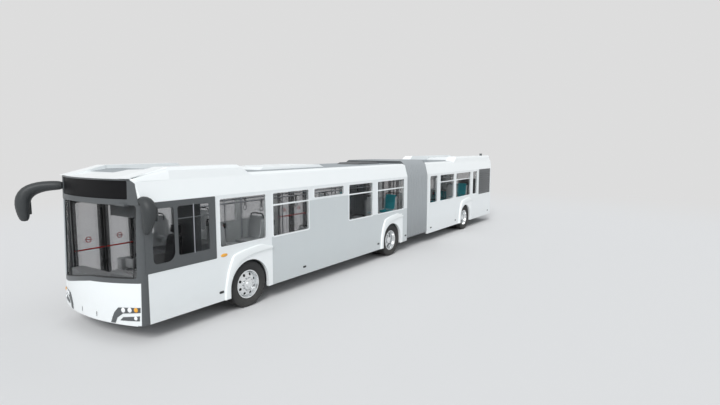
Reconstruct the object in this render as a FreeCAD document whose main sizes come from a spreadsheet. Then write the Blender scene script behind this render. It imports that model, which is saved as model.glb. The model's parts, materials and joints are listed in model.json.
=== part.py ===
import FreeCAD, Part
import Sketcher
import os

# An articulated low-floor city bus of 18 m, in millimetres.
# +X is forward, +Y is the bus's left and +Z is up. The origin is on the road, in the
# middle of the overall length. Two saloons are hinged at a turntable inside the bellows.

SIZES = (
    # name, value, what it is
    ("side_half", 1275, "outer face of a side wall from the centre plane"),
    ("wall_thick", 60, "thickness of walls and roof"),
    ("skirt_bottom", 320, "lower edge of the skirts above the road"),
    ("belt_top", 2400, "where the side wall ends and the leaning fascia begins"),
    ("shoulder_half", 1180, "half width at the top of the fascia"),
    ("shoulder_high", 2750, "height at the top of the fascia"),
    ("roof_half", 1100, "half width of the flat of the roof"),
    ("roof_high", 2800, "height of the roof's outer face"),
    ("floor_bottom", 330, "underside of the saloon floor"),
    ("floor_thick", 50, "thickness of the saloon floor"),
    ("front_axle_from_origin", 6100, "front axle ahead of the origin"),
    ("front_wheelbase", 5900, "front axle to middle axle"),
    ("rear_wheelbase", 6000, "middle axle to rear axle"),
    ("front_overhang", 2680, "front axle to the foremost point of the nose"),
    ("rear_overhang", 3400, "rear axle to the rearmost point"),
    ("pivot_behind", 1720, "middle axle to the turntable's pivot"),
    ("bellows_half_long", 750, "half length of the bellows"),
    ("nose_sweep", 3600, "plan radius of the nose"),
    ("nose_lean", 90, "how far the nose leans back over its height"),
    ("nose_corner", 150, "corner radius between nose and side"),
    ("nose_join", 380, "from the foremost point back to the joint of nose and side wall"),
    ("tail_sweep", 4500, "plan radius of the tail"),
    ("tail_lean", 60, "how far the tail leans forward over its height"),
    ("tail_corner", 220, "corner radius between tail and side"),
    ("tail_join", 380, "from the rearmost point to the joint of tail and side wall"),
    ("tyre_radius", 478, "tyre's outer radius and the wheel centre's height"),
    ("tyre_width", 275, "tyre's section width"),
    ("tyre_seat", 286, "radius of the rim's bead seat"),
    ("tread_half", 112, "half width of the tread"),
    ("track_half", 1105, "centre plane to the middle of the outer tyre"),
    ("twin_spacing", 310, "distance between the middles of twin tyres"),
    ("arch_radius", 530, "radius of a wheel arch's opening"),
    ("kingpin_inboard", 245, "middle of a steered tyre to its kingpin"),
    ("flare_half", 690, "half length of a wheel arch flare"),
    ("flare_high", 1270, "top of a wheel arch flare"),
    ("flare_round", 460, "corner radius of a wheel arch flare"),
    ("flare_lip", 100, "width of a flare's raised lip"),
    ("flare_proud", 40, "flare's lip before the wall"),
    ("flare_web", 12, "flare's flat part before the wall"),
    ("steering_arm", 200, "kingpin to the track rod's joint"),
    ("track_rod_high", 262, "height of the track rod"),
    ("track_rod_radius", 18, "radius of the track rod"),
    ("beam_half", 55, "half width of an axle beam along the bus"),
    ("beam_high", 75, "height of an axle beam's section"),
    ("beam_bottom", 215, "underside of a dropped axle beam"),
    ("steer_box_half", 650, "half length of a steered wheel's box"),
    ("twin_box_half", 570, "half length of a twin wheel's box"),
    ("steer_box_inboard", 550, "middle of a steered tyre to the inside of its box"),
    ("twin_box_gap", 62.5, "inner tyre of a pair to the inside of its box"),
    ("wheel_box_high", 1060, "inside height of a wheel box"),
    ("wheel_box_thick", 30, "thickness of a wheel box"),
    ("glass_thick", 6, "thickness of a window pane"),
    ("glass_inset", 6, "window pane behind the outer face"),
    ("seat_gap", 0.3, "clearance between pieces that are set into each other"),
    ("window_corner", 45, "corner radius of a window"),
    ("window_sill", 1380, "lower edge of the side windows"),
    ("window_head", 2340, "upper edge of the side windows"),
    ("short_sill", 2100, "lower edge of the short high window"),
    ("drivers_sill", 1190, "lower edge of the driver's window"),
    ("door_head", 2340, "upper edge of the doorways"),
    ("door_wide", 1300, "width of a doorway"),
    ("leaf_thick", 40, "thickness of a door leaf"),
    ("leaf_frame", 60, "width of a door leaf's frame"),
    ("leaf_pane", 8, "thickness of a door leaf's pane"),
    ("leaf_jamb_gap", 6, "door leaf to its jamb"),
    ("leaf_middle_gap", 20, "between the two leaves of a door"),
    ("leaf_floor_gap", 12, "door leaf above the floor"),
    ("leaf_head_gap", 10, "door leaf below the doorway's head"),
    ("column_from_jamb", 50, "turning column's axis from the jamb"),
    ("column_inboard", 90, "turning column's axis from the outer face"),
    ("column_radius", 18, "radius of a door's turning column"),
    ("turntable_radius", 700, "radius of the turntable's floor plate"),
    ("turntable_gap", 6, "running gap between the turntable's halves"),
    ("rail_radius", 17, "radius of the handrails"),
    ("rail_high", 2080, "height of the overhead rails"),
    ("rail_seat_gap", 18, "overhead rail and poles to the seats beside the aisle"),
    ("seat_wide", 430, "width of a passenger seat"),
    ("seat_deep", 420, "depth of a passenger seat"),
    ("seat_high", 440, "seat cushion's top above what the seat stands on"),
    ("cushion_thick", 70, "thickness of a seat cushion"),
    ("back_thick", 60, "thickness of a seat back"),
    ("back_high", 520, "height of a seat back above the cushion"),
    ("seat_wall_gap", 40, "seat on the floor to the side wall"),
    ("box_seat_gap", 100, "seat on a wheel box to the side wall"),
    ("cab_seat_back", 1500, "driver's seat ahead of the front axle"),
    ("display_low", 2410, "lower edge of the display's recess"),
    ("display_half", 1060, "half width of the display's recess"),
    ("display_deep", 260, "depth of the display's recess from the foremost point"),
    ("screen_head", 2360, "upper edge of the windscreen"),
    ("screen_half", 1180, "half width of the windscreen"),
    ("bumper_join", 210, "from the foremost point back to the joint of bumper and corner strip"),
    ("tail_window_half", 800, "half width of the rear window"),
    ("tail_window_low", 1550, "lower edge of the rear window"),
    ("tail_window_high", 2300, "upper edge of the rear window"),
    ("tail_lamp_near", 1000, "centre plane to the inner edge of a tail lamp"),
    ("tail_lamp_far", 1110, "centre plane to the outer edge of a tail lamp"),
    ("tail_lamp_low", 700, "lower edge of the tail lamps"),
    ("tail_lamp_high", 1300, "upper edge of the tail lamps"),
    ("exhaust_stub", 90, "exhaust's mouth above the fairing"),
    ("fairing_high", 2970, "top of the roof fairings"),
)

# Windows of the side walls, as distances behind the named axle.
WINDOWS = (
    # name, side, axle, from, to, whether it is the short high one
    ("left_first", "left", "front", -760, 500, False),
    ("left_second", "left", "front", 700, 1930, False),
    ("left_third", "left", "front", 2120, 3360, True),
    ("left_fourth", "left", "middle", -2310, -1120, False),
    ("left_fifth", "left", "middle", -860, 760, False),
    ("left_sixth", "left", "rear", -3350, -2750, False),
    ("left_seventh", "left", "rear", -2500, -1230, False),
    ("left_eighth", "left", "rear", -1020, 500, False),
    ("left_ninth", "left", "rear", 770, 1250, False),
    ("right_first", "right", "front", -760, 500, False),
    ("right_second", "right", "front", 700, 1930, False),
    ("right_third", "right", "front", 2120, 3300, False),
    ("right_fourth", "right", "middle", -860, 760, False),
    ("right_fifth", "right", "rear", -3350, -2650, False),
    ("right_sixth", "right", "rear", -950, 500, False),
    ("right_seventh", "right", "rear", 700, 2500, False),
)

# Double doorways of the right side, as distances of the leading jamb behind the named axle.
DOORS = (
    # name, axle, leading jamb
    ("front_door", "front", -2280),
    ("middle_door", "middle", -2400),
    ("rear_door", "rear", -2450),
)

LEFT = 1
RIGHT = -1
END_DEPTH = 700

doc = FreeCAD.newDocument("articulated_bus")
sheet = doc.addObject("Spreadsheet::Sheet", "Sizes")


class Length:
    # A size as the sheet's expression and as its present number.
    def __init__(self, text, number):
        self.text = text
        self.number = number

    def __float__(self):
        return float(self.number)

    def __add__(self, other):
        return Length(f"({self.text} + {written(other)})", self.number + float(other))

    def __sub__(self, other):
        return Length(f"({self.text} - {written(other)})", self.number - float(other))

    def __mul__(self, other):
        return Length(f"({self.text} * {written(other)})", self.number * float(other))

    def __truediv__(self, other):
        return Length(f"({self.text} / {written(other)})", self.number / float(other))

    def __radd__(self, other):
        return self + other

    def __rsub__(self, other):
        return self * -1 + other

    def __rmul__(self, other):
        return self * other

    def __neg__(self):
        return self * -1


class Names:
    # Holds one Length for each alias of the sheet.
    pass


size = Names()


def written(value):
    return value.text if isinstance(value, Length) else f"({float(value)})"


def enter_size(row, name, value, note):
    sheet.set(f"A{row}", name)
    sheet.set(f"B{row}", str(value))
    sheet.set(f"C{row}", note)
    sheet.setAlias(f"B{row}", name)
    setattr(size, name, Length(f"Sizes.{name}", value))


def all_sizes():
    rows = list(SIZES)
    for name, side, axle, start, end, short in WINDOWS:
        rows.append((f"{name}_from", start, f"window's leading edge behind the {axle} axle"))
        rows.append((f"{name}_to", end, f"window's trailing edge behind the {axle} axle"))
    for name, axle, jamb in DOORS:
        rows.append((f"{name}_from", jamb, f"doorway's leading jamb behind the {axle} axle"))
    return rows


for row, (name, value, note) in enumerate(all_sizes(), start=1):
    enter_size(row, name, value, note)
doc.recompute()


# Places that follow from the sizes.
front_axle = size.front_axle_from_origin
middle_axle = front_axle - size.front_wheelbase
rear_axle = middle_axle - size.rear_wheelbase
nose_tip = front_axle + size.front_overhang
tail_tip = rear_axle - size.rear_overhang
pivot = middle_axle - size.pivot_behind
front_end = pivot + size.bellows_half_long
rear_start = pivot - size.bellows_half_long
nose_start = nose_tip - size.nose_join
tail_start = tail_tip + size.tail_join
inner_half = size.side_half - size.wall_thick
floor_top = size.floor_bottom + size.floor_thick
roof_under = size.roof_high - size.wall_thick
wheel_high = size.tyre_radius
kingpin_half = size.track_half - size.kingpin_inboard
twin_inner_half = size.track_half - size.twin_spacing
steer_box_inner = size.track_half - size.steer_box_inboard
twin_box_inner = twin_inner_half - size.tyre_width / 2 - size.twin_box_gap
window_seat = inner_half - size.seat_wall_gap - size.seat_wide / 2
aisle_seat = window_seat - size.seat_wide
box_seat = inner_half - size.box_seat_gap - size.seat_wide / 2
pole_half = aisle_seat - size.seat_wide / 2 - size.rail_radius - size.rail_seat_gap
AXLES = {"front": front_axle, "middle": middle_axle, "rear": rear_axle}
box_outside_top = size.wheel_box_high + size.wheel_box_thick


def behind(distance, axle="front"):
    # The place that lies this far behind an axle.
    return AXLES[axle] - distance


def bind(thing, prop, value):
    thing.setExpression(prop, written(value))


def place(thing, x=0, y=0, z=0):
    for axis, value in zip("xyz", (x, y, z)):
        bind(thing, f"Placement.Base.{axis}", value)
    return thing


def box(name, x, y, z):
    # x, y and z are pairs of low and high.
    solid = doc.addObject("Part::Box", name)
    for prop, (low, high) in zip(("Length", "Width", "Height"), (x, y, z)):
        bind(solid, prop, high - low)
    return place(solid, x[0], y[0], z[0])


TURNED = {
    "x": FreeCAD.Rotation(FreeCAD.Vector(0, 1, 0), 90),
    "y": FreeCAD.Rotation(FreeCAD.Vector(1, 0, 0), -90),
    "z": FreeCAD.Rotation(),
}


def ordered(first, second):
    return (first, second) if float(first) < float(second) else (second, first)


def rod(name, axis, radius, x, y, z):
    # x, y and z are places, and the one along the axis is a pair of low and high.
    solid = doc.addObject("Part::Cylinder", name)
    solid.Placement = FreeCAD.Placement(FreeCAD.Vector(), TURNED[axis])
    start = {"x": x, "y": y, "z": z}
    low, high = start[axis]
    start[axis] = low
    bind(solid, "Radius", radius)
    bind(solid, "Height", high - low)
    return place(solid, start["x"], start["y"], start["z"])


def rounded(name, solid, radius, chosen):
    # Rounds the edges for which chosen(edge) holds.
    solid.recompute(True)
    fillet = doc.addObject("Part::Fillet", name)
    fillet.Base = solid
    edges = enumerate(solid.Shape.Edges, start=1)
    fillet.Edges = [(number, float(radius), float(radius)) for number, edge in edges if chosen(edge)]
    return fillet


def along(axis):
    # A test for straight edges that run along one axis.
    def test(edge):
        start, end = edge.firstVertex().Point, edge.lastVertex().Point
        run = end - start
        return run.Length > 0 and abs(getattr(run, axis)) > 0.98 * run.Length
    return test


def block(name, axis, radius, x, y, z):
    # A box whose four edges along one axis are rounded.
    return rounded(name, box(f"{name}_blank", x, y, z), radius, along(axis))


def fused(name, *things):
    joined = doc.addObject("Part::MultiFuse", name)
    joined.Shapes = list(things)
    return joined


def common(name, *things):
    shared = doc.addObject("Part::MultiCommon", name)
    shared.Shapes = list(things)
    return shared


def cut(name, base, *tools):
    result = doc.addObject("Part::Cut", name)
    result.Base = base
    result.Tool = tools[0] if len(tools) == 1 else fused(f"{name}_tools", *tools)
    return result


def together(name, *things):
    # Solids that share a node and don't touch.
    group = doc.addObject("Part::Compound", name)
    group.Links = list(things)
    return group


def closed_outline(sketch, corners):
    # A polygon whose every corner is held at its two bound distances from the origin.
    count = len(corners)
    points = [FreeCAD.Vector(float(a), float(b), 0) for a, b in corners]
    for number in range(count):
        sketch.addGeometry(Part.LineSegment(points[number], points[(number + 1) % count]))
    for number in range(count):
        following = (number + 1) % count
        sketch.addConstraint(Sketcher.Constraint("Coincident", number, 2, following, 1))
    for number, corner in enumerate(corners):
        for kind, value in zip(("DistanceX", "DistanceY"), corner):
            held = sketch.addConstraint(
                Sketcher.Constraint(kind, -1, 1, number, 1, float(value)))
            bind(sketch, f"Constraints[{held}]", value)


def sketch_on(body, name, role, offset=0):
    sketch = body.newObject("Sketcher::SketchObject", name)
    plane = [part for part in body.Origin.OriginFeatures if part.Role == role][0]
    sketch.AttachmentSupport = [(plane, "")]
    sketch.MapMode = "FlatFace"
    bind(sketch, "AttachmentOffset.Base.z", offset)
    return sketch


def prism(name, role, corners, low, high):
    # A padded outline from low to high along the plane's normal.
    # On XY_Plane corners are (x, y), on XZ_Plane (x, z) and on YZ_Plane (y, z).
    # The normal of XZ_Plane points to -Y, so that pad starts at the high end.
    body = doc.addObject("PartDesign::Body", name)
    start = -high if role == "XZ_Plane" else low
    sketch = sketch_on(body, f"{name}_outline", role, start)
    closed_outline(sketch, corners)
    sketch.Visibility = False
    pad = body.newObject("PartDesign::Pad", f"{name}_pad")
    pad.Profile = sketch
    bind(pad, "Length", high - low)
    body.Tip = pad
    return body


def turned(name, profile, x, y, z, side=LEFT):
    # A profile of (outward distance, radius) turned about the wheel's axis.
    body = doc.addObject("PartDesign::Body", name)
    sketch = sketch_on(body, f"{name}_profile", "YZ_Plane")
    closed_outline(sketch, [(side * outward, radius) for outward, radius in profile])
    revolution = body.newObject("PartDesign::Revolution", f"{name}_turn")
    revolution.Profile = sketch
    revolution.ReferenceAxis = (sketch, ["H_Axis"])
    revolution.Angle = 360
    body.Tip = revolution
    return place(body, x, y, z)


def arch_cutter(name, axle, side):
    # The round opening over a wheel, open down past the skirt.
    low, high = side_band(side, inner_half - 40, size.side_half + 40)
    circle = rod(f"{name}_circle", "y", size.arch_radius, axle, (low, high), wheel_high)
    mouth = box(f"{name}_mouth", (axle - size.arch_radius, axle + size.arch_radius),
                (low, high), (size.skirt_bottom - 60, wheel_high))
    return fused(name, circle, mouth)


def side_band(side, near, far):
    # The pair of low and high Y for a band on one side.
    return (near, far) if side == LEFT else (-far, -near)


def ended_block(name, end, half, sweep, lean, corner, direction, height):
    # A tall block with one end swept in plan and leaning, and rounded at its two corners.
    cone = doc.addObject("Part::Cone", f"{name}_sweep")
    bind(cone, "Radius1", sweep)
    bind(cone, "Radius2", sweep - lean)
    bind(cone, "Height", height)
    place(cone, end - direction * sweep, 0, 0)
    other = front_end if direction > 0 else rear_start
    begin = end - direction * END_DEPTH
    slab = box(f"{name}_slab", ordered(other, end + direction * 10), (-half, half), (0, height))
    waste = box(f"{name}_waste", ordered(begin, end + direction * 20), (-half - 20, half + 20),
                (0, height))
    swept = cut(f"{name}_swept", slab, cut(f"{name}_offcut", waste, cone))
    swept.recompute(True)
    beyond = float(begin)

    def corner_edge(edge):
        start, stop = edge.firstVertex().Point, edge.lastVertex().Point
        upright = abs(stop.z - start.z) > 0.9 * (stop - start).Length
        at_side = abs(abs(start.y) - float(half)) < 1
        return upright and at_side and (start.x - beyond) * direction > 0

    return rounded(f"{name}_ended", swept, corner, corner_edge)


def section(name, half, low, inset, start, end):
    # The cross-section of a saloon, moved inwards by the inset.
    shoulder = size.shoulder_half - inset
    crown = size.roof_high - inset
    shoulder_high = size.shoulder_high - inset / 2
    corners = (
        (-half, low), (half, low), (half, size.belt_top), (shoulder, shoulder_high),
        (size.roof_half - inset / 2, crown), (inset / 2 - size.roof_half, crown),
        (-shoulder, shoulder_high), (-half, size.belt_top),
    )
    return prism(name, "YZ_Plane", corners, start, end)


def shell(name, end, sweep, lean, corner, direction, start, stop):
    # The hollow skin of one saloon, open below and at the bellows.
    wall = size.wall_thick
    height = size.roof_high + 400
    outside = ended_block(f"{name}_outside", end, size.side_half, sweep, lean, corner,
                          direction, height)
    inside = ended_block(f"{name}_inside", end - direction * wall, inner_half, sweep - wall,
                         lean, corner - wall, direction, height)
    outer_section = section(f"{name}_outer_section", size.side_half, size.skirt_bottom,
                            0, start, stop)
    inner_section = section(f"{name}_inner_section", inner_half, size.skirt_bottom - 60,
                            wall, start, stop)
    outer = common(f"{name}_outer", outside, outer_section)
    inner = common(f"{name}_inner", inside, inner_section)
    return cut(f"{name}_skin", outer, inner), outer, inner


def windows_of(vehicle):
    # name, side, span along the bus and sill of each window of one saloon.
    for name, side, axle, start, end, short in WINDOWS:
        if (axle == "rear") == (vehicle == "rear"):
            span = (behind(getattr(size, f"{name}_to"), axle),
                    behind(getattr(size, f"{name}_from"), axle))
            yield name, side, span, size.short_sill if short else size.window_sill


def window_cutters(vehicle, wanted):
    # One cutter for each window of one side of one saloon.
    return [window_block(f"{name}_opening", side, span, (sill, size.window_head),
                         size.wall_thick + 40, 20, 0)
            for name, side, span, sill in windows_of(vehicle) if side == wanted]


def window_block(name, side, x, z, thick, proud, gap):
    # A block with rounded corners set into a side wall.
    direction = LEFT if side == "left" else RIGHT
    y = side_band(direction, size.side_half + proud - thick, size.side_half + proud)
    return block(name, "y", size.window_corner,
                 (x[0] + gap, x[1] - gap), y, (z[0] + gap, z[1] - gap))


def side_panes(vehicle):
    # The glass of one saloon's windows, each pane just behind the outer face.
    rows = [(name, side, span, sill) for name, side, span, sill in windows_of(vehicle)]
    if vehicle == "front":
        rows.append(("drivers", "left", drivers_window, size.drivers_sill + 60))
    return [window_block(f"{name}_pane", side, span, (sill, size.window_head), size.glass_thick,
                         -size.glass_inset, size.seat_gap) for name, side, span, sill in rows]


drivers_window = (behind(-950), behind(-2200))


def doorway(name):
    # The span of a doorway along the bus.
    axle = [row[1] for row in DOORS if row[0] == name][0]
    lead = behind(getattr(size, f"{name}_from"), axle)
    return lead - size.door_wide, lead


def doorway_cutter(name):
    return box(f"{name}_opening", doorway(name), (-size.side_half - 40, -inner_half + 40),
               (size.skirt_bottom - 60, size.door_head))


def wall_region(name, side, x):
    return box(name, x, side_band(side, 0, size.side_half + 50),
               (size.skirt_bottom - 60, size.belt_top))


def front_walls(skin):
    for side, word in ((LEFT, "left"), (RIGHT, "right")):
        region = wall_region(f"front_{word}_region", side, (front_end, nose_start))
        blank = common(f"front_{word}_blank", skin, region)
        cutters = window_cutters("front", word)
        for axle, place_name in ((front_axle, "front"), (middle_axle, "middle")):
            cutters.append(arch_cutter(f"{place_name}_{word}_arch", axle, side))
        if side == LEFT:
            cutters.append(window_block("drivers_opening", "left", drivers_window,
                                        (size.drivers_sill + 60, size.window_head),
                                        size.wall_thick + 40, 20, 0))
        else:
            cutters += [doorway_cutter("front_door"), doorway_cutter("middle_door")]
        yield cut(f"front_{word}_wall", blank, *cutters)


def rear_walls(skin):
    for side, word in ((LEFT, "left"), (RIGHT, "right")):
        region = wall_region(f"rear_{word}_region", side, (tail_start, rear_start))
        blank = common(f"rear_{word}_blank", skin, region)
        cutters = window_cutters("rear", word)
        cutters.append(arch_cutter(f"rear_{word}_arch", rear_axle, side))
        if side == RIGHT:
            cutters.append(doorway_cutter("rear_door"))
        yield cut(f"rear_{word}_wall", blank, *cutters)


# The nose: white panels below a slanting line, and the dark mask round the windscreen, which
# runs down both corners as a strip.
NOSE_LINES = (
    # across, lower edge of the mask, lower edge of the windscreen
    (80, 985, 1085), (-310, 920, 1015), (-940, 800, 905),
)
NOSE_ENDS = ((1060, 1150), (780, 875))   # the same edges at the left and at the right side
HEADLAMP = (
    # across and height of the cluster's corners, from its lower inner one
    (640, 400), (740, 400), (770, 430), (900, 520), (1175, 558), (1175, 643), (800, 610), (710, 520),
)
headlamp_deep = 60


def below_line(name, edge, lift, low):
    # Everything ahead of low that lies under one of the nose's slanting lines.
    wide = size.side_half + 50
    bottom = size.skirt_bottom - 80
    corners = [(wide, NOSE_ENDS[0][edge] + lift)]
    corners += [(row[0], row[edge + 1] + lift) for row in NOSE_LINES]
    corners += [(-wide, NOSE_ENDS[1][edge] + lift), (-wide, bottom), (wide, bottom)]
    return prism(name, "YZ_Plane", corners, low, nose_tip + 60)


def swept_front(name, depth):
    # A cone that follows the nose's sweep and lean, this far behind its outer face.
    cone = doc.addObject("Part::Cone", name)
    bind(cone, "Radius1", size.nose_sweep - depth)
    bind(cone, "Radius2", size.nose_sweep - size.nose_lean - depth)
    bind(cone, "Height", size.roof_high + 400)
    return place(cone, nose_tip - size.nose_sweep, 0, 0)


def between_sweeps(name, blank, outer, inner):
    # The slice of a blank between two depths behind the nose's outer face.
    swept = common(f"{name}_swept", blank, swept_front(f"{name}_outer_sweep", outer))
    return cut(name, swept, swept_front(f"{name}_inner_sweep", inner))


def headlamp_prism(name, side, gap):
    # The cluster's outline, drawn in all round by the gap.
    corners = []
    count = len(HEADLAMP)
    for number, (across, height) in enumerate(HEADLAMP):
        here = FreeCAD.Vector(across, height, 0)
        before = (here - FreeCAD.Vector(*HEADLAMP[number - 1], 0)).normalize()
        after = (FreeCAD.Vector(*HEADLAMP[(number + 1) % count], 0) - here).normalize()
        inward = FreeCAD.Vector(-before.y - after.y, before.x + after.x, 0)
        inward *= float(gap) / (1 + before.dot(after))
        corners.append((side * (across + inward.x), height + inward.y))
    return prism(name, "YZ_Plane", corners, nose_tip - 330, nose_tip + 50)


def nose_pieces(skin):
    beyond = nose_tip + 50
    white = below_line("bumper_region", 0, 0, nose_tip - size.bumper_join)
    lamps = [headlamp_prism(f"lamp_recess_{word}", side, 0)
             for side, word in ((LEFT, "left"), (RIGHT, "right"))]
    bores = [rod(f"tow_opening_{word}", "x", 45, (nose_tip - 300, beyond), across, tow_high)
             for word, across in tow_places]
    bumper = cut("front_bumper", common("bumper_blank", skin, white), *lamps, *bores)
    region = box("mask_region", (nose_start, beyond), (-size.side_half, size.side_half),
                 (size.skirt_bottom - 60, size.belt_top))
    opening = cut("screen_opening", screen_block("screen_opening_blank", nose_start - 20, 0),
                  below_line("under_screen_opening", 1, 0, nose_start - 60))
    mask = cut("front_mask", common("mask_blank", skin, region),
               below_line("mask_above", 0, 0, nose_tip - size.bumper_join), opening, *lamps)
    return bumper, mask


tow_high = floor_top + 45
tow_places = (("left", 260), ("right", -220))


def screen_block(name, start, gap):
    # The windscreen's outline with its round upper corners, open to below its slanting edge.
    return block(name, "x", 60, (start, nose_tip + 50), (gap - size.screen_half, size.screen_half - gap),
                 (NOSE_ENDS[1][1] - 80, size.screen_head - gap))


def windscreen():
    # One pane that follows the nose's sweep and lean behind its outer face.
    gap = size.seat_gap
    pane = cut("screen_blank", screen_block("screen_whole", nose_start, gap),
               below_line("under_screen", 1, gap, nose_start - 60))
    return between_sweeps("windscreen", pane, size.glass_inset, size.glass_inset + size.glass_thick)


def display_region(name, gap):
    deep = nose_tip - size.display_deep
    return box(name, (deep + gap, nose_tip + 50), (gap - size.display_half, size.display_half - gap),
               (size.display_low + gap, size.roof_high - 20 - gap))


def roofs(front_skin, rear_skin):
    tall = (size.belt_top, size.roof_high + 50)
    wide = (-size.side_half - 10, size.side_half + 10)
    front_region = box("front_roof_region", (front_end, nose_tip + 50), wide, tall)
    front = cut("front_roof", common("front_roof_blank", front_skin, front_region),
                display_region("display_recess", 0))
    rear_region = box("rear_roof_region", (tail_tip - 50, rear_start), wide, tall)
    rear = common("rear_roof", rear_skin, rear_region)
    return front, rear


def display_box():
    # The route display's housing, its front swept like the nose.
    return common("display_box", display_region("display_blank", size.seat_gap),
                  swept_front("display_sweep", 12))


def headlamps():
    # A cluster on each side, let into the bumper.
    return together("headlamps", *[
        between_sweeps(f"headlamp_{word}", headlamp_prism(f"lamp_housing_{word}", side, size.seat_gap),
                       8, headlamp_deep)
        for side, word in ((LEFT, "left"), (RIGHT, "right"))])


def tail_lamp_box(word, side, name, x, gap):
    return box(f"{name}_{word}", x, side_band(side, size.tail_lamp_near + gap, size.tail_lamp_far - gap),
               (size.tail_lamp_low + gap, size.tail_lamp_high - gap))


def tail_window_block(name, x, gap):
    return block(name, "x", 60, x, (gap - size.tail_window_half, size.tail_window_half - gap),
                 (size.tail_window_low + gap, size.tail_window_high - gap))


def tail_panel(skin):
    beyond = tail_tip - 50
    region = box("tail_region", (beyond, tail_start), (-size.side_half, size.side_half),
                 (size.skirt_bottom - 60, size.belt_top))
    lamps = [tail_lamp_box(word, side, "tail_recess", (beyond, tail_tip + 300), 0)
             for side, word in ((LEFT, "left"), (RIGHT, "right"))]
    window = tail_window_block("rear_window_opening", (beyond, tail_tip + 300), 0)
    return cut("rear_end", common("tail_blank", skin, region), *lamps, window)


def rear_window():
    inset = size.wall_thick + 2
    return tail_window_block("rear_window", (tail_tip + inset, tail_tip + inset + 8), size.seat_gap)


def tail_lamps():
    return together("tail_lamps", *[
        tail_lamp_box(word, side, "tail_lamp", (tail_tip + 130, tail_tip + 210), size.seat_gap)
        for side, word in ((LEFT, "left"), (RIGHT, "right"))])


def arch_flares(vehicle):
    # A raised lip and a flat web round each wheel arch, standing on the wall's outer face.
    flares = []
    for axle_name in (("rear",) if vehicle == "rear" else ("front", "middle")):
        axle = AXLES[axle_name]
        for side, word in ((LEFT, "left"), (RIGHT, "right")):
            name = f"{axle_name}_{word}_flare"
            face = size.side_half + size.seat_gap
            deep = size.flare_high - size.flare_round * 3
            lip = block(f"{name}_lip", "y", size.flare_round,
                        (axle - size.flare_half, axle + size.flare_half),
                        side_band(side, face, size.side_half + size.flare_proud),
                        (deep, size.flare_high))
            inside = size.flare_half - size.flare_lip
            hollow = block(f"{name}_hollow", "y", size.flare_round - size.flare_lip,
                           (axle - inside, axle + inside),
                           side_band(side, size.side_half + size.flare_web,
                                     size.side_half + size.flare_proud + 10),
                           (deep + size.flare_lip, size.flare_high - size.flare_lip))
            circle = rod(f"{name}_circle", "y", size.arch_radius, axle,
                         side_band(side, size.side_half - 10, size.side_half + size.flare_proud + 10),
                         wheel_high)
            below = box(f"{name}_below", (axle - size.flare_half - 10, axle + size.flare_half + 10),
                        side_band(side, size.side_half - 10, size.side_half + size.flare_proud + 10),
                        (deep - 10, size.skirt_bottom))
            mouth = box(f"{name}_mouth", (axle - size.arch_radius, axle + size.arch_radius),
                        side_band(side, size.side_half - 10, size.side_half + size.flare_proud + 10),
                        (deep - 10, wheel_high))
            flares.append(cut(name, lip, hollow, circle, below, mouth))
    return together(f"{vehicle}_arch_flares", *flares)


def wheel_places():
    # name, axle, half length of the box, its inside from the centre plane
    yield "front", front_axle, size.steer_box_half, steer_box_inner
    yield "middle", middle_axle, size.twin_box_half, twin_box_inner
    yield "rear", rear_axle, size.twin_box_half, twin_box_inner


def wheel_box(name, axle, half, inner, side):
    # A box over a wheel, open below and towards the arch, standing on the floor.
    thick = size.wheel_box_thick
    outside = box(f"{name}_outside", (axle - half - thick, axle + half + thick),
                  side_band(side, inner - thick, inner_half), (floor_top, box_outside_top))
    inside = box(f"{name}_inside", (axle - half, axle + half),
                 side_band(side, inner, inner_half + 10), (floor_top - 10, size.wheel_box_high))
    return cut(name, outside, inside)


def floor_of(vehicle, inner, x, doors):
    # The floor with its sills, open over the wheels, with the wheel boxes standing on it.
    levels = (size.floor_bottom, floor_top)
    slab = common(f"{vehicle}_slab", inner,
                  box(f"{vehicle}_slab_region", x, (-inner_half, inner_half), levels))
    sills = [box(f"{door}_sill", (doorway(door)[0] + 1, doorway(door)[1] - 1),
                 (-size.side_half + 5, -inner_half + 30), levels) for door in doors]
    pits = []
    boxes = []
    for name, axle, half, inside in wheel_places():
        if (name == "rear") != (vehicle == "rear"):
            continue
        for side, word in ((LEFT, "left"), (RIGHT, "right")):
            pits.append(box(f"{name}_{word}_pit", (axle - half, axle + half),
                            side_band(side, inside, inner_half + 10),
                            (size.floor_bottom - 10, floor_top + 10)))
            boxes.append(wheel_box(f"{name}_{word}_box", axle, half, inside, side))
    return cut(f"{vehicle}_floor_slab", slab, *pits), sills, boxes


def pads_under(vehicle, places):
    # Flat jacking pads below the floor.
    return [box(f"{vehicle}_pad_{number}", (x - pad_half, x + pad_half), (y - pad_half, y + pad_half),
                (size.floor_bottom - pad_thick, size.floor_bottom))
            for number, (x, y) in enumerate(places, start=1)]


pad_half = 60
pad_thick = 30
tow_outer = 40
tow_inner = 16
tow_set_back = 25
tow_rear = 260
tow_deep = 175


def tow_sockets():
    # Threaded tubes that end in the two holes of the front panel.
    sockets = []
    start, end = nose_tip - tow_rear, nose_tip - tow_set_back
    for word, across in tow_places:
        tube = rod(f"tow_tube_{word}", "x", tow_outer, (start, end), across, tow_high)
        hole = rod(f"tow_bore_{word}", "x", tow_inner, (end - tow_deep, end + 10), across, tow_high)
        foot = box(f"tow_foot_{word}", (start, start + 90), (across - 30, across + 30),
                   (floor_top - 5, tow_high))
        sockets.append(cut(f"tow_socket_{word}", fused(f"tow_blank_{word}", tube, foot), hole))
    return sockets


def front_floor(inner):
    slab, sills, boxes = floor_of("front", inner, (front_end, nose_tip), ("front_door", "middle_door"))
    pads = pads_under("front", [(front_axle - 900, 1000), (front_axle - 900, -1000),
                                (middle_axle + 900, 1000), (middle_axle + 900, -1000)])
    return fused("front_floor", slab, *sills, *boxes, *pads, *tow_sockets())


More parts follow.
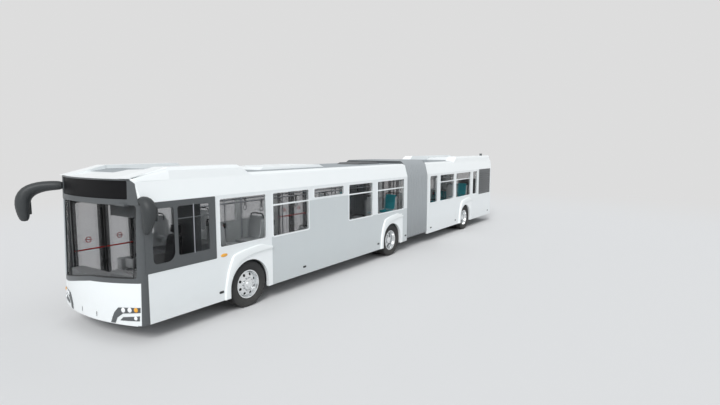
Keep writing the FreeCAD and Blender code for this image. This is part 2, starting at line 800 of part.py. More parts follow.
def rear_floor(inner):
    slab, sills, boxes = floor_of("rear", inner, (tail_tip, rear_start), ("rear_door",))
    pads = pads_under("rear", [(rear_axle + 800, 1000), (rear_axle + 800, -1000)])
    return fused("rear_floor", slab, *sills, *boxes, *pads)


# Wheels, hubs and axles.
spindle_radius = 60
spindle_deep = 70
brake_radius = 200


def tyre_profile():
    half = size.tyre_width / 2
    seat = size.tyre_seat
    outer = size.tyre_radius
    bead = seat + 16
    return ((-100, seat), (100, seat), (100, bead), (half, seat + 95), (half - 4, outer - 40),
            (size.tread_half, outer), (-size.tread_half, outer), (4 - half, outer - 40),
            (-half, seat + 95), (-100, bead))


def steer_rim_profile():
    # Barrel, convex disc and hub, from the centre outwards.
    seat = size.tyre_seat - size.seat_gap
    return ((-110, seat - 14), (-110, seat + 14), (-100.5, seat + 14), (-100.5, seat),
            (100.5, seat), (100.5, seat + 14), (110, seat + 14), (110, seat - 14),
            (84, seat - 14), (84, 250), (98, 235), (98, 112), (146, 104), (146, 1),
            (20, 1), (20, 118), (82, 118), (82, 225), (64, 240), (64, seat - 14))


def twin_rim_profile():
    # Two barrels on one hub, both measured from the middle of the outer tyre.
    seat = size.tyre_seat - size.seat_gap
    lip = seat + 14
    well = seat - 12
    under = seat - 28
    inner = -size.twin_spacing
    return ((inner - 110, under), (inner - 110, lip), (inner - 100.5, lip), (inner - 100.5, seat),
            (inner + 100.5, seat), (inner + 100.5, lip), (inner + 110, lip), (inner + 110, well),
            (-110, well), (-110, lip), (-100.5, lip), (-100.5, seat),
            (100.5, seat), (100.5, lip), (110, lip), (110, under),
            (-76, under), (-112, 235), (-112, 120), (60, 110), (60, 1), (-140, 1),
            (-140, 235), (-165, under))


def vent_holes(name, x, y, count, circle, radius):
    # Round holes through a wheel's disc.
    holes = []
    for number in range(count):
        turn = FreeCAD.Rotation(FreeCAD.Vector(0, 1, 0), 360 * number / count)
        spoke = turn.multVec(FreeCAD.Vector(0, 0, circle))
        holes.append(rod(f"{name}_vent_{number}", "y", radius, x + spoke.x, y, wheel_high + spoke.z))
    return holes


def spindle_bore(name, axle, y, side):
    return rod(name, "y", spindle_radius + size.seat_gap, axle, y, wheel_high)


def wheels(name, axle, twin):
    # Tyres and rims of one axle.
    for side, word in ((LEFT, "left"), (RIGHT, "right")):
        across = side * size.track_half
        tyre = turned(f"tyre_{name}_{word}_outer", tyre_profile(), axle, across, wheel_high, side)
        profile = twin_rim_profile() if twin else steer_rim_profile()
        blank = turned(f"rim_{name}_{word}_blank", profile, axle, across, wheel_high, side)
        if twin:
            inner = turned(f"tyre_{name}_{word}_inner", tyre_profile(), axle,
                           side * twin_inner_half, wheel_high, side)
            tyre = together(f"tyre_{name}_{word}", tyre, inner)
            disc = side_band(side, size.track_half - 175, size.track_half - 100)
            bore = side_band(side, size.track_half - 150, size.track_half - 140 + spindle_deep)
        else:
            disc = side_band(side, size.track_half + 50, size.track_half + 105)
            bore = side_band(side, size.track_half + 10, size.track_half + 20 + spindle_deep)
        holes = vent_holes(f"rim_{name}_{word}", axle, disc, 10, 180, 26)
        hub = spindle_bore(f"rim_{name}_{word}_bore", axle, bore, side)
        rim = cut(f"rim_{name}_{word}", blank, hub, *holes)
        yield f"tyre_{name}_{word}", tyre
        yield f"rim_{name}_{word}", rim


def dropped_beam(name, axle, end_half, rise_half):
    # An axle beam that passes low under the aisle and rises to the wheels.
    low = size.beam_bottom
    high = low + size.beam_high
    along_bus = (axle - size.beam_half, axle + size.beam_half)
    middle = box(f"{name}_middle", along_bus, (-rise_half, rise_half), (low, high))
    risers = []
    for side, word in ((LEFT, "left"), (RIGHT, "right")):
        risers.append(box(f"{name}_{word}_riser", along_bus,
                          side_band(side, rise_half - size.beam_high, rise_half),
                          (low, wheel_high + 50)))
        risers.append(box(f"{name}_{word}_end", along_bus, side_band(side, rise_half - 10, end_half),
                          (wheel_high - 50, wheel_high + 50)))
    return [middle, *risers]


kingpin_radius = 24
kingpin_gap = 0.3


def front_axle_beam():
    # The steered axle's beam with an eye at each end for a kingpin.
    pin_half = kingpin_half
    pieces = dropped_beam("front_axle", front_axle, pin_half, pin_half - 130)
    eyes = [rod(f"front_axle_{word}_eye", "z", 48, front_axle, side * pin_half,
                (wheel_high - 50, wheel_high + 50)) for side, word in ((LEFT, "left"), (RIGHT, "right"))]
    bores = [rod(f"front_axle_{word}_bore", "z", kingpin_radius + kingpin_gap, front_axle,
                 side * pin_half, (wheel_high - 80, wheel_high + 80))
             for side, word in ((LEFT, "left"), (RIGHT, "right"))]
    hangers = axle_hangers("front_axle", front_axle, pin_half - 190)
    return cut("front_axle", fused("front_axle_blank", *pieces, *eyes, *hangers), *bores)


def axle_hangers(name, axle, half):
    # Spring seats that carry the floor on the beam.
    top = size.floor_bottom
    return [box(f"{name}_{word}_seat", (axle - size.beam_half, axle + size.beam_half),
                side_band(side, half - 130, half), (size.beam_bottom + size.beam_high - 5, top))
            for side, word in ((LEFT, "left"), (RIGHT, "right"))]


def knuckle(word, side):
    # Fork and pin in the beam's eye, brake drum, spindle and steering arm.
    pin = side * kingpin_half
    x = front_axle
    drum_near = kingpin_half + 85
    arm_x = x - size.steering_arm
    pieces = [
        rod(f"knuckle_{word}_pin", "z", kingpin_radius, x, pin, (wheel_high - 110, wheel_high + 110)),
        box(f"knuckle_{word}_upper", (x - 40, x + 40), side_band(side, kingpin_half - 40, drum_near + 5),
            (wheel_high + 60, wheel_high + 110)),
        box(f"knuckle_{word}_lower", (x - 40, x + 40), side_band(side, kingpin_half - 40, drum_near + 5),
            (wheel_high - 110, wheel_high - 60)),
        rod(f"knuckle_{word}_drum", "y", brake_radius, x,
            side_band(side, drum_near, size.track_half + 10), wheel_high),
        rod(f"knuckle_{word}_spindle", "y", spindle_radius, x,
            side_band(side, drum_near, size.track_half + 15 + spindle_deep), wheel_high),
        box(f"knuckle_{word}_arm", (arm_x - 30, x + 30), side_band(side, kingpin_half - 30, kingpin_half + 30),
            (wheel_high - 130, wheel_high - 105)),
        rod(f"knuckle_{word}_ball", "z", 14, arm_x, pin, (size.track_rod_high + 10, wheel_high - 110)),
    ]
    return fused(f"knuckle_{word}", *pieces)


def track_rod():
    # A rod between the two steering arms, each end an eye below its ball pin.
    x = front_axle - size.steering_arm
    half = kingpin_half
    bar = rod("track_rod_bar", "y", size.track_rod_radius, x, (-half, half), size.track_rod_high - 30)
    eyes = [rod(f"track_rod_{word}_eye", "z", 32, x, side * half,
                (size.track_rod_high - 50, size.track_rod_high + 9.7))
            for side, word in ((LEFT, "left"), (RIGHT, "right"))]
    return fused("track_rod", bar, *eyes)


def drive_axle(name, axle):
    # A portal axle: low in the middle, with a drum and a spindle at each end.
    inner_face = twin_inner_half - 145
    pieces = dropped_beam(name, axle, inner_face + 35, inner_face + 30)
    for side, word in ((LEFT, "left"), (RIGHT, "right")):
        pieces.append(rod(f"{name}_{word}_drum", "y", brake_radius, axle,
                          side_band(side, inner_face, size.track_half - 185), wheel_high))
        pieces.append(rod(f"{name}_{word}_spindle", "y", spindle_radius, axle,
                          side_band(side, inner_face, size.track_half - 145 + spindle_deep), wheel_high))
    return fused(name, *pieces, *axle_hangers(name, axle, inner_face - 80))


# The turntable and the bellows.
turntable_top = floor_top
turntable_plate = 40


def turntable_base():
    # A ring on arms from the front saloon, below the plate.
    gap = size.turntable_gap
    top = turntable_top - turntable_plate - gap
    ring = rod("base_ring_outside", "z", size.turntable_radius - 100, pivot, 0, (top - 60, top))
    well = rod("base_ring_inside", "z", size.turntable_radius - 300, pivot, 0, (top - 70, top + 10))
    arms = [box(f"base_arm_{word}", (pivot + 450, front_end + 200), (y - 60, y + 60),
                (top - 60, size.floor_bottom))
            for word, y in (("left", 300), ("right", -300))]
    blank = fused("turntable_base_blank", ring, *arms)
    return cut("turntable_base", blank, well)


def turntable_ring():
    # The walked-on plate, carried by the rear saloon, with its pivot's spigot in the base.
    low = turntable_top - turntable_plate
    plate = rod("ring_plate", "z", size.turntable_radius, pivot, 0, (low, turntable_top))
    bridge = box("ring_bridge", (rear_start, pivot), (-500, 500), (low, turntable_top))
    spigot = rod("ring_spigot", "z", size.turntable_radius - 300.3, pivot, 0, (low - 50, low))
    return fused("turntable_ring", plate, bridge, spigot)


bellows_pleats = 15
bellows_low = 360
bellows_high = 2880
bellows_half = 1240
bellows_wall = 70
bellows_fold = 32


def bellows():
    # Pleats between the saloons: wide and narrow frames in turn.
    pitch = size.bellows_half_long * 2 / bellows_pleats
    frames = []
    for number in range(bellows_pleats):
        start = rear_start + pitch * number
        for word, low, high, inset in (("wide", start, start + pitch / 2, 0),
                                       ("narrow", start + pitch / 2, start + pitch, bellows_fold)):
            frames.append(box(f"pleat_{number}_{word}", (low, high),
                              (inset - bellows_half, bellows_half - inset),
                              (bellows_low + inset, bellows_high - inset)))
    passage = box("bellows_passage", (rear_start - 10, front_end + 10),
                  (bellows_wall - bellows_half, bellows_half - bellows_wall),
                  (bellows_low - 10, bellows_high - bellows_wall))
    return cut("bellows", fused("bellows_pleated", *frames), passage)


# Doors: each leaf turns inwards with its column and arms.


def door_leaf(name, word, jamb, inward):
    # inward is +1 where the leaf runs forward from its jamb and -1 where it runs back.
    wide = size.door_wide / 2 - size.leaf_jamb_gap - size.leaf_middle_gap / 2
    near = jamb + inward * size.leaf_jamb_gap
    far = near + inward * wide
    span = (near, far) if inward > 0 else (far, near)
    frame = size.leaf_frame
    face = -size.side_half
    levels = (floor_top + size.leaf_floor_gap, size.door_head - size.leaf_head_gap)
    blank = box(f"{name}_{word}_blank", span, (face, face + size.leaf_thick), levels)
    opening = block(f"{name}_{word}_light", "y", size.window_corner,
                    (span[0] + frame, span[1] - frame), (face - 10, face + size.leaf_thick + 10),
                    (levels[0] + frame, levels[1] - frame))
    pane = block(f"{name}_{word}_pane", "y", size.window_corner,
                 (span[0] + frame, span[1] - frame), (face + 12, face + 12 + size.leaf_pane),
                 (levels[0] + frame, levels[1] - frame))
    axis_x = jamb + inward * size.column_from_jamb
    axis_y = face + size.column_inboard
    column = rod(f"{name}_{word}_column", "z", size.column_radius, axis_x, axis_y,
                 (floor_top + size.seat_gap, size.door_head - size.seat_gap))
    arms = []
    for place_name, height in (("lower", levels[0] + 20), ("upper", levels[1] - 60)):
        reach = axis_x + inward * wide / 2
        ends = (axis_x, reach) if inward > 0 else (reach, axis_x)
        arms.append(box(f"{name}_{word}_{place_name}_arm", ends,
                        (axis_y - 12, axis_y + 12), (height, height + 40)))
        tip = (reach - 40, reach) if inward > 0 else (reach, reach + 40)
        arms.append(box(f"{name}_{word}_{place_name}_tip", tip,
                        (face + size.leaf_thick, axis_y), (height, height + 40)))
    return fused(f"{name}_{word}", cut(f"{name}_{word}_frame", blank, opening), pane, column, *arms)


def door_leaves():
    for name, axle, jamb in DOORS:
        rear_jamb, front_jamb = doorway(name)
        yield f"{name}_front_leaf", door_leaf(name, "front_leaf", front_jamb, -1)
        yield f"{name}_rear_leaf", door_leaf(name, "rear_leaf", rear_jamb, 1)


# Inside: seats, rails and the driver's place.
SEATS = (
    # saloon, axle, distance behind it, side, place across, facing (+1 forward)
    ("front", "front", -330, 1, "box", -1), ("front", "front", 330, 1, "box", 1),
    ("front", "front", -330, -1, "box", -1), ("front", "front", 330, -1, "box", 1),
    ("front", "front", 1250, 1, "window", -1), ("front", "front", 2150, 1, "window", 1),
    ("front", "front", 2150, 1, "aisle", 1), ("front", "front", 2950, 1, "window", 1),
    ("front", "front", 2950, 1, "aisle", 1), ("front", "middle", -2150, 1, "window", 1),
    ("front", "middle", -2150, 1, "aisle", 1), ("front", "middle", -1300, 1, "window", 1),
    ("front", "middle", -1300, 1, "aisle", 1), ("front", "front", 1250, -1, "window", -1),
    ("front", "front", 2150, -1, "window", 1),
    ("front", "middle", -330, 1, "box", -1), ("front", "middle", 330, 1, "box", 1),
    ("front", "middle", -330, -1, "box", -1), ("front", "middle", 330, -1, "box", 1),
    ("rear", "rear", -3000, 1, "window", 1), ("rear", "rear", -3000, 1, "aisle", 1),
    ("rear", "rear", -2200, 1, "window", 1), ("rear", "rear", -2200, 1, "aisle", 1),
    ("rear", "rear", -1400, 1, "window", 1), ("rear", "rear", -1400, 1, "aisle", 1),
    ("rear", "rear", -330, 1, "box", -1), ("rear", "rear", 330, 1, "box", 1),
    ("rear", "rear", -330, -1, "box", -1), ("rear", "rear", 330, -1, "box", 1),
    ("rear", "rear", 1350, -1, "window", 1), ("rear", "rear", 1350, -1, "aisle", 1),
    ("rear", "rear", 2150, -1, "window", 1), ("rear", "rear", 2150, -1, "aisle", 1),
)
ACROSS = {"window": window_seat, "aisle": aisle_seat, "box": box_seat}


def seat(name, x, y, facing, stand):
    # A cushion and a back on a pedestal.
    half = size.seat_wide / 2
    deep = size.seat_deep / 2
    top = stand + size.seat_high
    across = (y - half, y + half)
    back_x = (x - deep, x - deep + size.back_thick) if facing > 0 else (x + deep - size.back_thick, x + deep)
    pieces = [
        box(f"{name}_cushion", (x - deep, x + deep), across, (top - size.cushion_thick, top)),
        box(f"{name}_back", back_x, across, (top - size.cushion_thick, top + size.back_high)),
        box(f"{name}_pedestal", (x - 110, x + 110), (y - 60, y + 60), (stand, top - size.cushion_thick)),
    ]
    return fused(name, *pieces)


def passenger_seats(vehicle):
    rows = [row for row in SEATS if row[0] == vehicle]
    seats = []
    for number, (saloon, axle, distance, side, where, facing) in enumerate(rows, start=1):
        level = box_outside_top if where == "box" else floor_top
        seats.append(seat(f"{vehicle}_seat_{number}", behind(distance, axle),
                          side * ACROSS[where], facing, level))
    return seats


POLES = (
    # saloon, axle, distance behind it, side of the aisle
    ("front", "front", -700, 1), ("front", "front", 720, 1), ("front", "front", 720, -1),
    ("front", "front", 1750, 1), ("front", "front", 2700, -1), ("front", "middle", -2550, 1),
    ("front", "middle", -1000, 1), ("front", "middle", -1000, -1),
    ("rear", "rear", -3200, 1), ("rear", "rear", -3200, -1), ("rear", "rear", -1800, 1),
    ("rear", "rear", -900, 1), ("rear", "rear", -900, -1), ("rear", "rear", 950, 1),
    ("rear", "rear", 950, -1),
)


def handrails(vehicle, start, end):
    # On each side of the aisle an overhead rail, with its poles from floor to roof.
    sides = []
    for side, word in ((LEFT, "left"), (RIGHT, "right")):
        across = side * pole_half
        pieces = [rod(f"{vehicle}_rail_{word}", "x", size.rail_radius, (start, end), across,
                      size.rail_high)]
        rows = [(distance, axle) for saloon, axle, distance, pole_side in POLES
                if (saloon, pole_side) == (vehicle, side)]
        for number, row in enumerate(rows, start=1):
            pieces.append(rod(f"{vehicle}_pole_{word}_{number}", "z", size.rail_radius,
                              behind(*row), across, (floor_top, roof_under)))
        sides.append(fused(f"{vehicle}_handrails_{word}", *pieces))
    return together(f"{vehicle}_handrails", *sides)


cab_front = 2270
cab_rear = 1000
cab_side = 150
platform_high = 200
dash_low = 720
dash_high = 1050


def drivers_cab(inner):
    # The raised platform, dashboard with its column and wheel, and the partition behind.
    dash_region = box("dash_region", (behind(-cab_front), nose_tip), (-900, inner_half),
                      (dash_low, dash_high))
    dash = common("dash_blank", inner, dash_region)
    knee_region = box("knee_region", (behind(-cab_front), behind(-cab_front) + 60),
                      (cab_side, inner_half), (floor_top, dash_low + 20))
    knee_panel = common("knee_panel", inner, knee_region)
    platform_region = box("platform_region", (behind(-cab_rear), behind(-cab_front) + 10),
                          (cab_side, inner_half), (floor_top, floor_top + platform_high))
    platform = common("cab_platform", inner, platform_region)
    partition = box("cab_partition", (behind(-cab_rear), behind(-cab_rear) + 40), (250, inner_half),
                    (floor_top + platform_high, 1350))
    door = box("cab_door", (behind(-cab_rear), behind(-1900)), (180, 220),
               (floor_top + platform_high, 1250))
    post = box("cab_post", (behind(-cab_rear), behind(-cab_rear) + 40), (180, 260),
               (floor_top + platform_high, roof_under))
    hub_x = behind(-2060)
    wheel = doc.addObject("Part::Torus", "steering_wheel")
    wheel.Radius1 = 225
    wheel.Radius2 = 15
    place(wheel, hub_x, 650, 1150)
    spoke = box("steering_spoke", (hub_x - 225, hub_x + 225), (630, 670), (1140, 1158))
    column = box("steering_column", (hub_x - 35, hub_x + 35), (615, 685),
                 (floor_top + platform_high, 1150))
    return fused("drivers_cab", dash, knee_panel, platform, partition, door, post, wheel, spoke, column)


def drivers_seat():
    return seat("drivers_seat", behind(-size.cab_seat_back), 650, 1, floor_top + platform_high)


# Outside: mirrors, fairings, roof units.


def hanging_mirror(name, side, head_x, head_y, head_z, root, bends, radius):
    # A rounded head on a bent round arm from the corner of the roof.
    path = [FreeCAD.Vector(float(x), float(y), float(z)) for x, y, z in (root, *bends)]
    arm = doc.addObject("Part::Feature", f"{name}_arm")
    pieces = []
    for start, end in zip(path, path[1:]):
        run = end - start
        pieces.append(Part.makeCylinder(radius, run.Length, start, run))
        pieces.append(Part.makeSphere(radius, end))
    solid = pieces[0].multiFuse(pieces[1:])
    arm.Shape = solid
    head = block(f"{name}_head", "x", 50, (head_x[0], head_x[1]), (head_y[0], head_y[1]),
                 (head_z[0], head_z[1]))
    return fused(name, arm, head)


def mirrors(outer):
    right_root = (front_axle + 2390, -1150, 2610)
    right = hanging_mirror(
        "mirror_right", RIGHT, (front_axle + 2950, front_axle + 3070), (-1690, -1470), (1930, 2400),
        right_root, [(front_axle + 2640, -1370, 2650), (front_axle + 2890, -1520, 2590),
                     (front_axle + 3005, -1575, 2440), (front_axle + 3008, -1580, 2320)], 72)
    left_root = (front_axle + 2330, 1100, 2560)
    left = hanging_mirror(
        "mirror_left", LEFT, (front_axle + 2330, front_axle + 2450), (1310, 1510), (1880, 2400),
        left_root, [(front_axle + 2440, 1330, 2560), (front_axle + 2410, 1410, 2480),
                    (front_axle + 2390, 1410, 2320)], 45)
    return together("mirrors", cut("mirror_right_fitted", right, outer),
                    cut("mirror_left_fitted", left, outer))


fairing_high = size.fairing_high
fairing_inner = 790
fairing_slope = 420


def fairing(name, side, low, high, slope_at_high):
    # A raised strip along the shoulder of the roof, sloping down at one end.
    base = size.roof_high
    corners = [(side * size.shoulder_half, size.shoulder_high), (side * size.roof_half, base),
               (side * fairing_inner, base), (side * (fairing_inner + 15), fairing_high),
               (side * (size.roof_half + 15), fairing_high),
               (side * (size.roof_half + 55), fairing_high - 60)]
    strip = prism(f"{name}_strip", "YZ_Plane", corners, low, high)
    top = fairing_high + 10
    if slope_at_high:
        wedge = [(high + 1, size.shoulder_high - 60), (high + 1, top), (high - fairing_slope, top),
                 (high - fairing_slope, fairing_high)]
    else:
        wedge = [(low - 1, size.shoulder_high - 60), (low - 1, top), (low + fairing_slope, top),
                 (low + fairing_slope, fairing_high)]
    tool = prism(f"{name}_slope", "XZ_Plane", wedge, -size.side_half, size.side_half)
    return cut(name, strip, tool)


cap_front = 180
cap_long = 720


def front_fairing():
    front = nose_tip - cap_front
    rear = front - cap_long
    strips = [fairing(f"front_fairing_{word}", side, behind(280), rear, False)
              for side, word in ((LEFT, "left"), (RIGHT, "right"))]
    cap = prism("front_cap", "XZ_Plane",
                ((front, size.roof_high), (rear - 300, size.roof_high), (rear - 300, 2900), (rear, 2900)),
                -fairing_inner, fairing_inner)
    ends = [prism(f"cap_end_{word}", "XZ_Plane",
                  ((front, size.roof_high), (rear, size.roof_high), (rear, fairing_high)),
                  *side_band(side, fairing_inner, size.roof_half)) for side, word in
            ((LEFT, "left"), (RIGHT, "right"))]
    return fused("front_fairing", *strips, cap, *ends)


def rear_fairing():
    strips = [fairing(f"rear_fairing_{word}", side, tail_tip + 340, behind(-1150, "rear"), True)
              for side, word in ((LEFT, "left"), (RIGHT, "right"))]
    return together("rear_fairing", *strips)


ROOF_UNITS = (
    # saloon, name, axle, from and to behind it, half width, height above the roof
    ("front", "cooling_unit", "front", -1150, 300, 700, 60),
    ("front", "heating_unit", "front", 1000, 3400, 600, 70),
    ("front", "hatch", "middle", -600, 700, 400, 60),
    ("rear", "pod", "rear", -3200, -2000, 600, 70),
    ("rear", "cooler", "rear", 400, 2500, 700, 100),
)


def roof_units(vehicle):
    units = []
    for saloon, name, axle, start, end, half, high in ROOF_UNITS:
        if saloon == vehicle:
            units.append(block(f"{vehicle}_{name}", "z", 80, (behind(end, axle), behind(start, axle)),
                               (-half, half), (size.roof_high, size.roof_high + high)))
    return together(f"{vehicle}_roof_units", *units)


def exhaust():
    return box("exhaust", (behind(2520, "rear"), behind(2360, "rear")), (960, 1020),
               (fairing_high, fairing_high + size.exhaust_stub))


def engine():
    # One plain block for the engine and its tower in the left rear corner.
    return box("engine", (tail_tip + 420, tail_tip + 1700), (250, inner_half - 1),
               (floor_top, 1900))


def check(thing, name):
    shape = thing.Shape
    if "Invalid" in thing.State or "Error" in thing.State:
        raise RuntimeError(f"{name} failed: {thing.State}")
    if shape.isNull() or not shape.isValid() or not shape.Solids:
        raise RuntimeError(f"{name} has no valid solid")


def build():
    front_skin, front_outer, front_inner = shell("front", nose_tip, size.nose_sweep, size.nose_lean,
                                                 size.nose_corner, 1, front_end, nose_tip + 10)
    rear_skin, rear_outer, rear_inner = shell("rear", tail_tip, size.tail_sweep, size.tail_lean,
                                              size.tail_corner, -1, tail_tip - 10, rear_start)
    bumper, mask = nose_pieces(front_skin)
    front_roof, rear_roof = roofs(front_skin, rear_skin)
    left, right = front_walls(front_skin)
    rear_left, rear_right = rear_walls(rear_skin)
    nodes = {
        "front_left_wall": left,
        "front_right_wall": right,
        "front_roof": front_roof,
        "front_bumper": bumper,
        "front_mask": mask,
        "windscreen": windscreen(),
        "front_side_glass": together("front_side_glass", *side_panes("front")),
        "front_arch_flares": arch_flares("front"),
        "display_box": display_box(),
        "headlamps": headlamps(),
        "mirrors": mirrors(front_outer),
        "front_fairing": front_fairing(),
        "front_roof_units": roof_units("front"),
        "front_floor": front_floor(front_inner),
        "drivers_cab": drivers_cab(front_inner),
        "drivers_seat": drivers_seat(),
        "front_seats": together("front_seats", *passenger_seats("front")),
        "front_handrails": handrails("front", front_end + 150, behind(-800)),
        "front_axle": front_axle_beam(),
        "middle_axle": drive_axle("middle_axle", middle_axle),
        "turntable_base": turntable_base(),
        "knuckle_left": knuckle("left", LEFT),
        "knuckle_right": knuckle("right", RIGHT),
        "track_rod": track_rod(),
        "bellows": bellows(),
        "turntable_ring": turntable_ring(),
        "rear_left_wall": rear_left,
        "rear_right_wall": rear_right,
        "rear_roof": rear_roof,
        "rear_end": tail_panel(rear_skin),
        "rear_window": rear_window(),
        "rear_side_glass": together("rear_side_glass", *side_panes("rear")),
        "rear_arch_flares": arch_flares("rear"),
        "tail_lamps": tail_lamps(),
        "rear_fairing": rear_fairing(),
        "rear_roof_units": roof_units("rear"),
        "exhaust": exhaust(),
        "rear_floor": rear_floor(rear_inner),
        "rear_seats": together("rear_seats", *passenger_seats("rear")),
        "rear_handrails": handrails("rear", tail_start + 1500, rear_start - 150),
        "engine": engine(),
        "rear_axle": drive_axle("rear_axle", rear_axle),
    }
    for name, axle, twin in (("front", front_axle, False), ("middle", middle_axle, True),
                             ("rear", rear_axle, True)):
        nodes.update(wheels(name, axle, twin))
    nodes.update(door_leaves())
    return nodes


nodes = build()
for name, thing in nodes.items():
    thing.Label = name
doc.recompute()
for thing in doc.Objects:
    if "Invalid" in thing.State or "Error" in thing.State:
        raise RuntimeError(f"{thing.Name} failed: {thing.State}")
for name, thing in nodes.items():
    check(thing, name)
os.makedirs("parts", exist_ok=True)
for name, thing in nodes.items():
    thing.Shape.exportStep(os.path.join("parts", f"{name}.step"))
    print(name, len(thing.Shape.Solids), round(thing.Shape.Volume / 1e6, 2))
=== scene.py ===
import json
import math
import bpy
import bmesh
from mathutils import Matrix, Vector


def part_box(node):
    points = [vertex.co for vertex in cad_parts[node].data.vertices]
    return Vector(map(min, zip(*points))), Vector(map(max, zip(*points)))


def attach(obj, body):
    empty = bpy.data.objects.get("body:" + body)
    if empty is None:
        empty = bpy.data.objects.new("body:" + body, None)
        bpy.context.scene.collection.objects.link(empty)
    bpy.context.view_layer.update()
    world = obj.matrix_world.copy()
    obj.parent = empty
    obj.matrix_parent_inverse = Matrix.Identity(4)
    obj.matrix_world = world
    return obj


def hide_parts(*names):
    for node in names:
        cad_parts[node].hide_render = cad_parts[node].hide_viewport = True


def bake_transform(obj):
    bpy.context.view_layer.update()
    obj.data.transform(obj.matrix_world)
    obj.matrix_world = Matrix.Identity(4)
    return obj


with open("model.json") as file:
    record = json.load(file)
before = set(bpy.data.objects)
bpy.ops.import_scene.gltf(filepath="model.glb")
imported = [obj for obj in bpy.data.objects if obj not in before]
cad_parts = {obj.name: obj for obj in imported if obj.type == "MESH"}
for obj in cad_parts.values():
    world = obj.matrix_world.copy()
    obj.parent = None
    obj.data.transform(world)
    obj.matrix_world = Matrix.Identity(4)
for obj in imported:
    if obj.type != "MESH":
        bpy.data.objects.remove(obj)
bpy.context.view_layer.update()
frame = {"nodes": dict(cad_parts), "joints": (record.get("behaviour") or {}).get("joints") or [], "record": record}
nodes = frame["nodes"]
print("frame loaded:", len(nodes), "nodes")

sunk = 0.001          # how far a sheet's foot reaches into the panel it lies on
ringToFloor = 0.045   # from the middle of the turntable's ring up to the floor


def low(node):
    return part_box(node)[0]


def high(node):
    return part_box(node)[1]


def jointPlace(field, value):
    return Vector(next(joint for joint in frame["joints"] if joint[field] == value)["pos_m"])


sideFace = high("rear_left_wall").y           # outer face of the side walls
skirtLow = low("front_left_wall").z
beltTop = high("front_left_wall").z
noseTip = high("front_bumper").x
tailTip = low("rear_end").x
frontEnd = low("front_left_wall").x           # the front saloon's end at the bellows
rearStart = high("rear_left_wall").x          # the rear saloon's start at the bellows
floorTop = (low("turntable_ring").z + high("turntable_ring").z) / 2 + ringToFloor
axles = {name: jointPlace("name", f"spin_{name}_left") for name in ("front", "middle", "rear")}
frontAxle = axles["front"].x


def behind(distance):
    # the place along X that far behind the front axle
    return frontAxle - distance


# shader groups that several finishes use

def newGroup(name, output, **inputs):
    # number inputs with their first values, and one number that changes over the surface
    tree = bpy.data.node_groups.new(name, "ShaderNodeTree")
    for label, value in inputs.items():
        socket = tree.interface.new_socket(name=label, in_out="INPUT", socket_type="NodeSocketFloat")
        socket.default_value = value
    tree.interface.new_socket(name=output, in_out="OUTPUT", socket_type="NodeSocketFloat")
    return tree, tree.nodes.new("NodeGroupInput"), tree.nodes.new("NodeGroupOutput")


def mathNode(tree, operation, first, second, clamp=False):
    node = tree.nodes.new("ShaderNodeMath")
    node.operation = operation
    node.use_clamp = clamp
    for place, value in enumerate((first, second)):
        if isinstance(value, (int, float)):
            node.inputs[place].default_value = value
        else:
            tree.links.new(value, node.inputs[place])
    return node.outputs[0]


def objectNoise(tree, scale, detail):
    # noise in the object's own coordinates, and those coordinates
    coords = tree.nodes.new("ShaderNodeTexCoord").outputs["Object"]
    noise = tree.nodes.new("ShaderNodeTexNoise")
    noise.inputs["Detail"].default_value = detail
    tree.links.new(coords, noise.inputs["Vector"])
    tree.links.new(scale, noise.inputs["Scale"])
    return noise.outputs["Fac"], coords


def makeGrainGroup():
    # fine irregular grain, from 0 to 1
    tree, start, end = newGroup("fineGrain", "Value", Scale=40.0, Contrast=1.0)
    noise, _ = objectNoise(tree, start.outputs["Scale"], 4.0)
    centred = mathNode(tree, "SUBTRACT", noise, 0.5)
    spread = mathNode(tree, "MULTIPLY", centred, start.outputs["Contrast"])
    tree.links.new(mathNode(tree, "ADD", spread, 0.5, True), end.inputs["Value"])
    return tree


def makeRoadDustGroup():
    # a mask that is strongest near the road and broken up by noise
    tree, start, end = newGroup("roadDust", "Mask", Height=0.9, Amount=0.3, Scale=6.0)
    noise, coords = objectNoise(tree, start.outputs["Scale"], 5.0)
    split = tree.nodes.new("ShaderNodeSeparateXYZ")
    tree.links.new(coords, split.inputs[0])
    level = mathNode(tree, "DIVIDE", split.outputs["Z"], start.outputs["Height"])
    broken = mathNode(tree, "MULTIPLY", mathNode(tree, "SUBTRACT", 1.0, level, True), noise)
    tree.links.new(mathNode(tree, "MULTIPLY", broken, start.outputs["Amount"], True), end.inputs["Mask"])
    return tree


def makeWeaveGroup():
    # crossed threads for cloth
    tree, start, end = newGroup("threadWeave", "Value", Scale=300.0)
    coords = tree.nodes.new("ShaderNodeTexCoord")
    waves = []
    for direction in ("X", "Z"):
        wave = tree.nodes.new("ShaderNodeTexWave")
        wave.bands_direction = direction
        tree.links.new(coords.outputs["Object"], wave.inputs["Vector"])
        tree.links.new(start.outputs["Scale"], wave.inputs["Scale"])
        waves.append(wave.outputs["Fac"])
    tree.links.new(mathNode(tree, "MULTIPLY", *waves), end.inputs["Value"])
    return tree


fineGrain = makeGrainGroup()
roadDust = makeRoadDustGroup()
threadWeave = makeWeaveGroup()


def useGroup(tree, group, **values):
    node = tree.nodes.new("ShaderNodeGroup")
    node.node_tree = group
    for name, value in values.items():
        node.inputs[name].default_value = value
    return node.outputs[0]


def blendColour(tree, mask, first, second):
    mix = tree.nodes.new("ShaderNodeMix")
    mix.data_type = "RGBA"
    tree.links.new(mask, mix.inputs[0])
    for place, value in ((6, first), (7, second)):
        if isinstance(value, tuple):
            mix.inputs[place].default_value = (*value, 1)
        else:
            tree.links.new(value, mix.inputs[place])
    return mix.outputs[2]


def ranged(tree, value, lowest, highest):
    # stretches 0..1 to a range
    node = tree.nodes.new("ShaderNodeMapRange")
    node.inputs["To Min"].default_value = lowest
    node.inputs["To Max"].default_value = highest
    tree.links.new(value, node.inputs["Value"])
    return node.outputs[0]


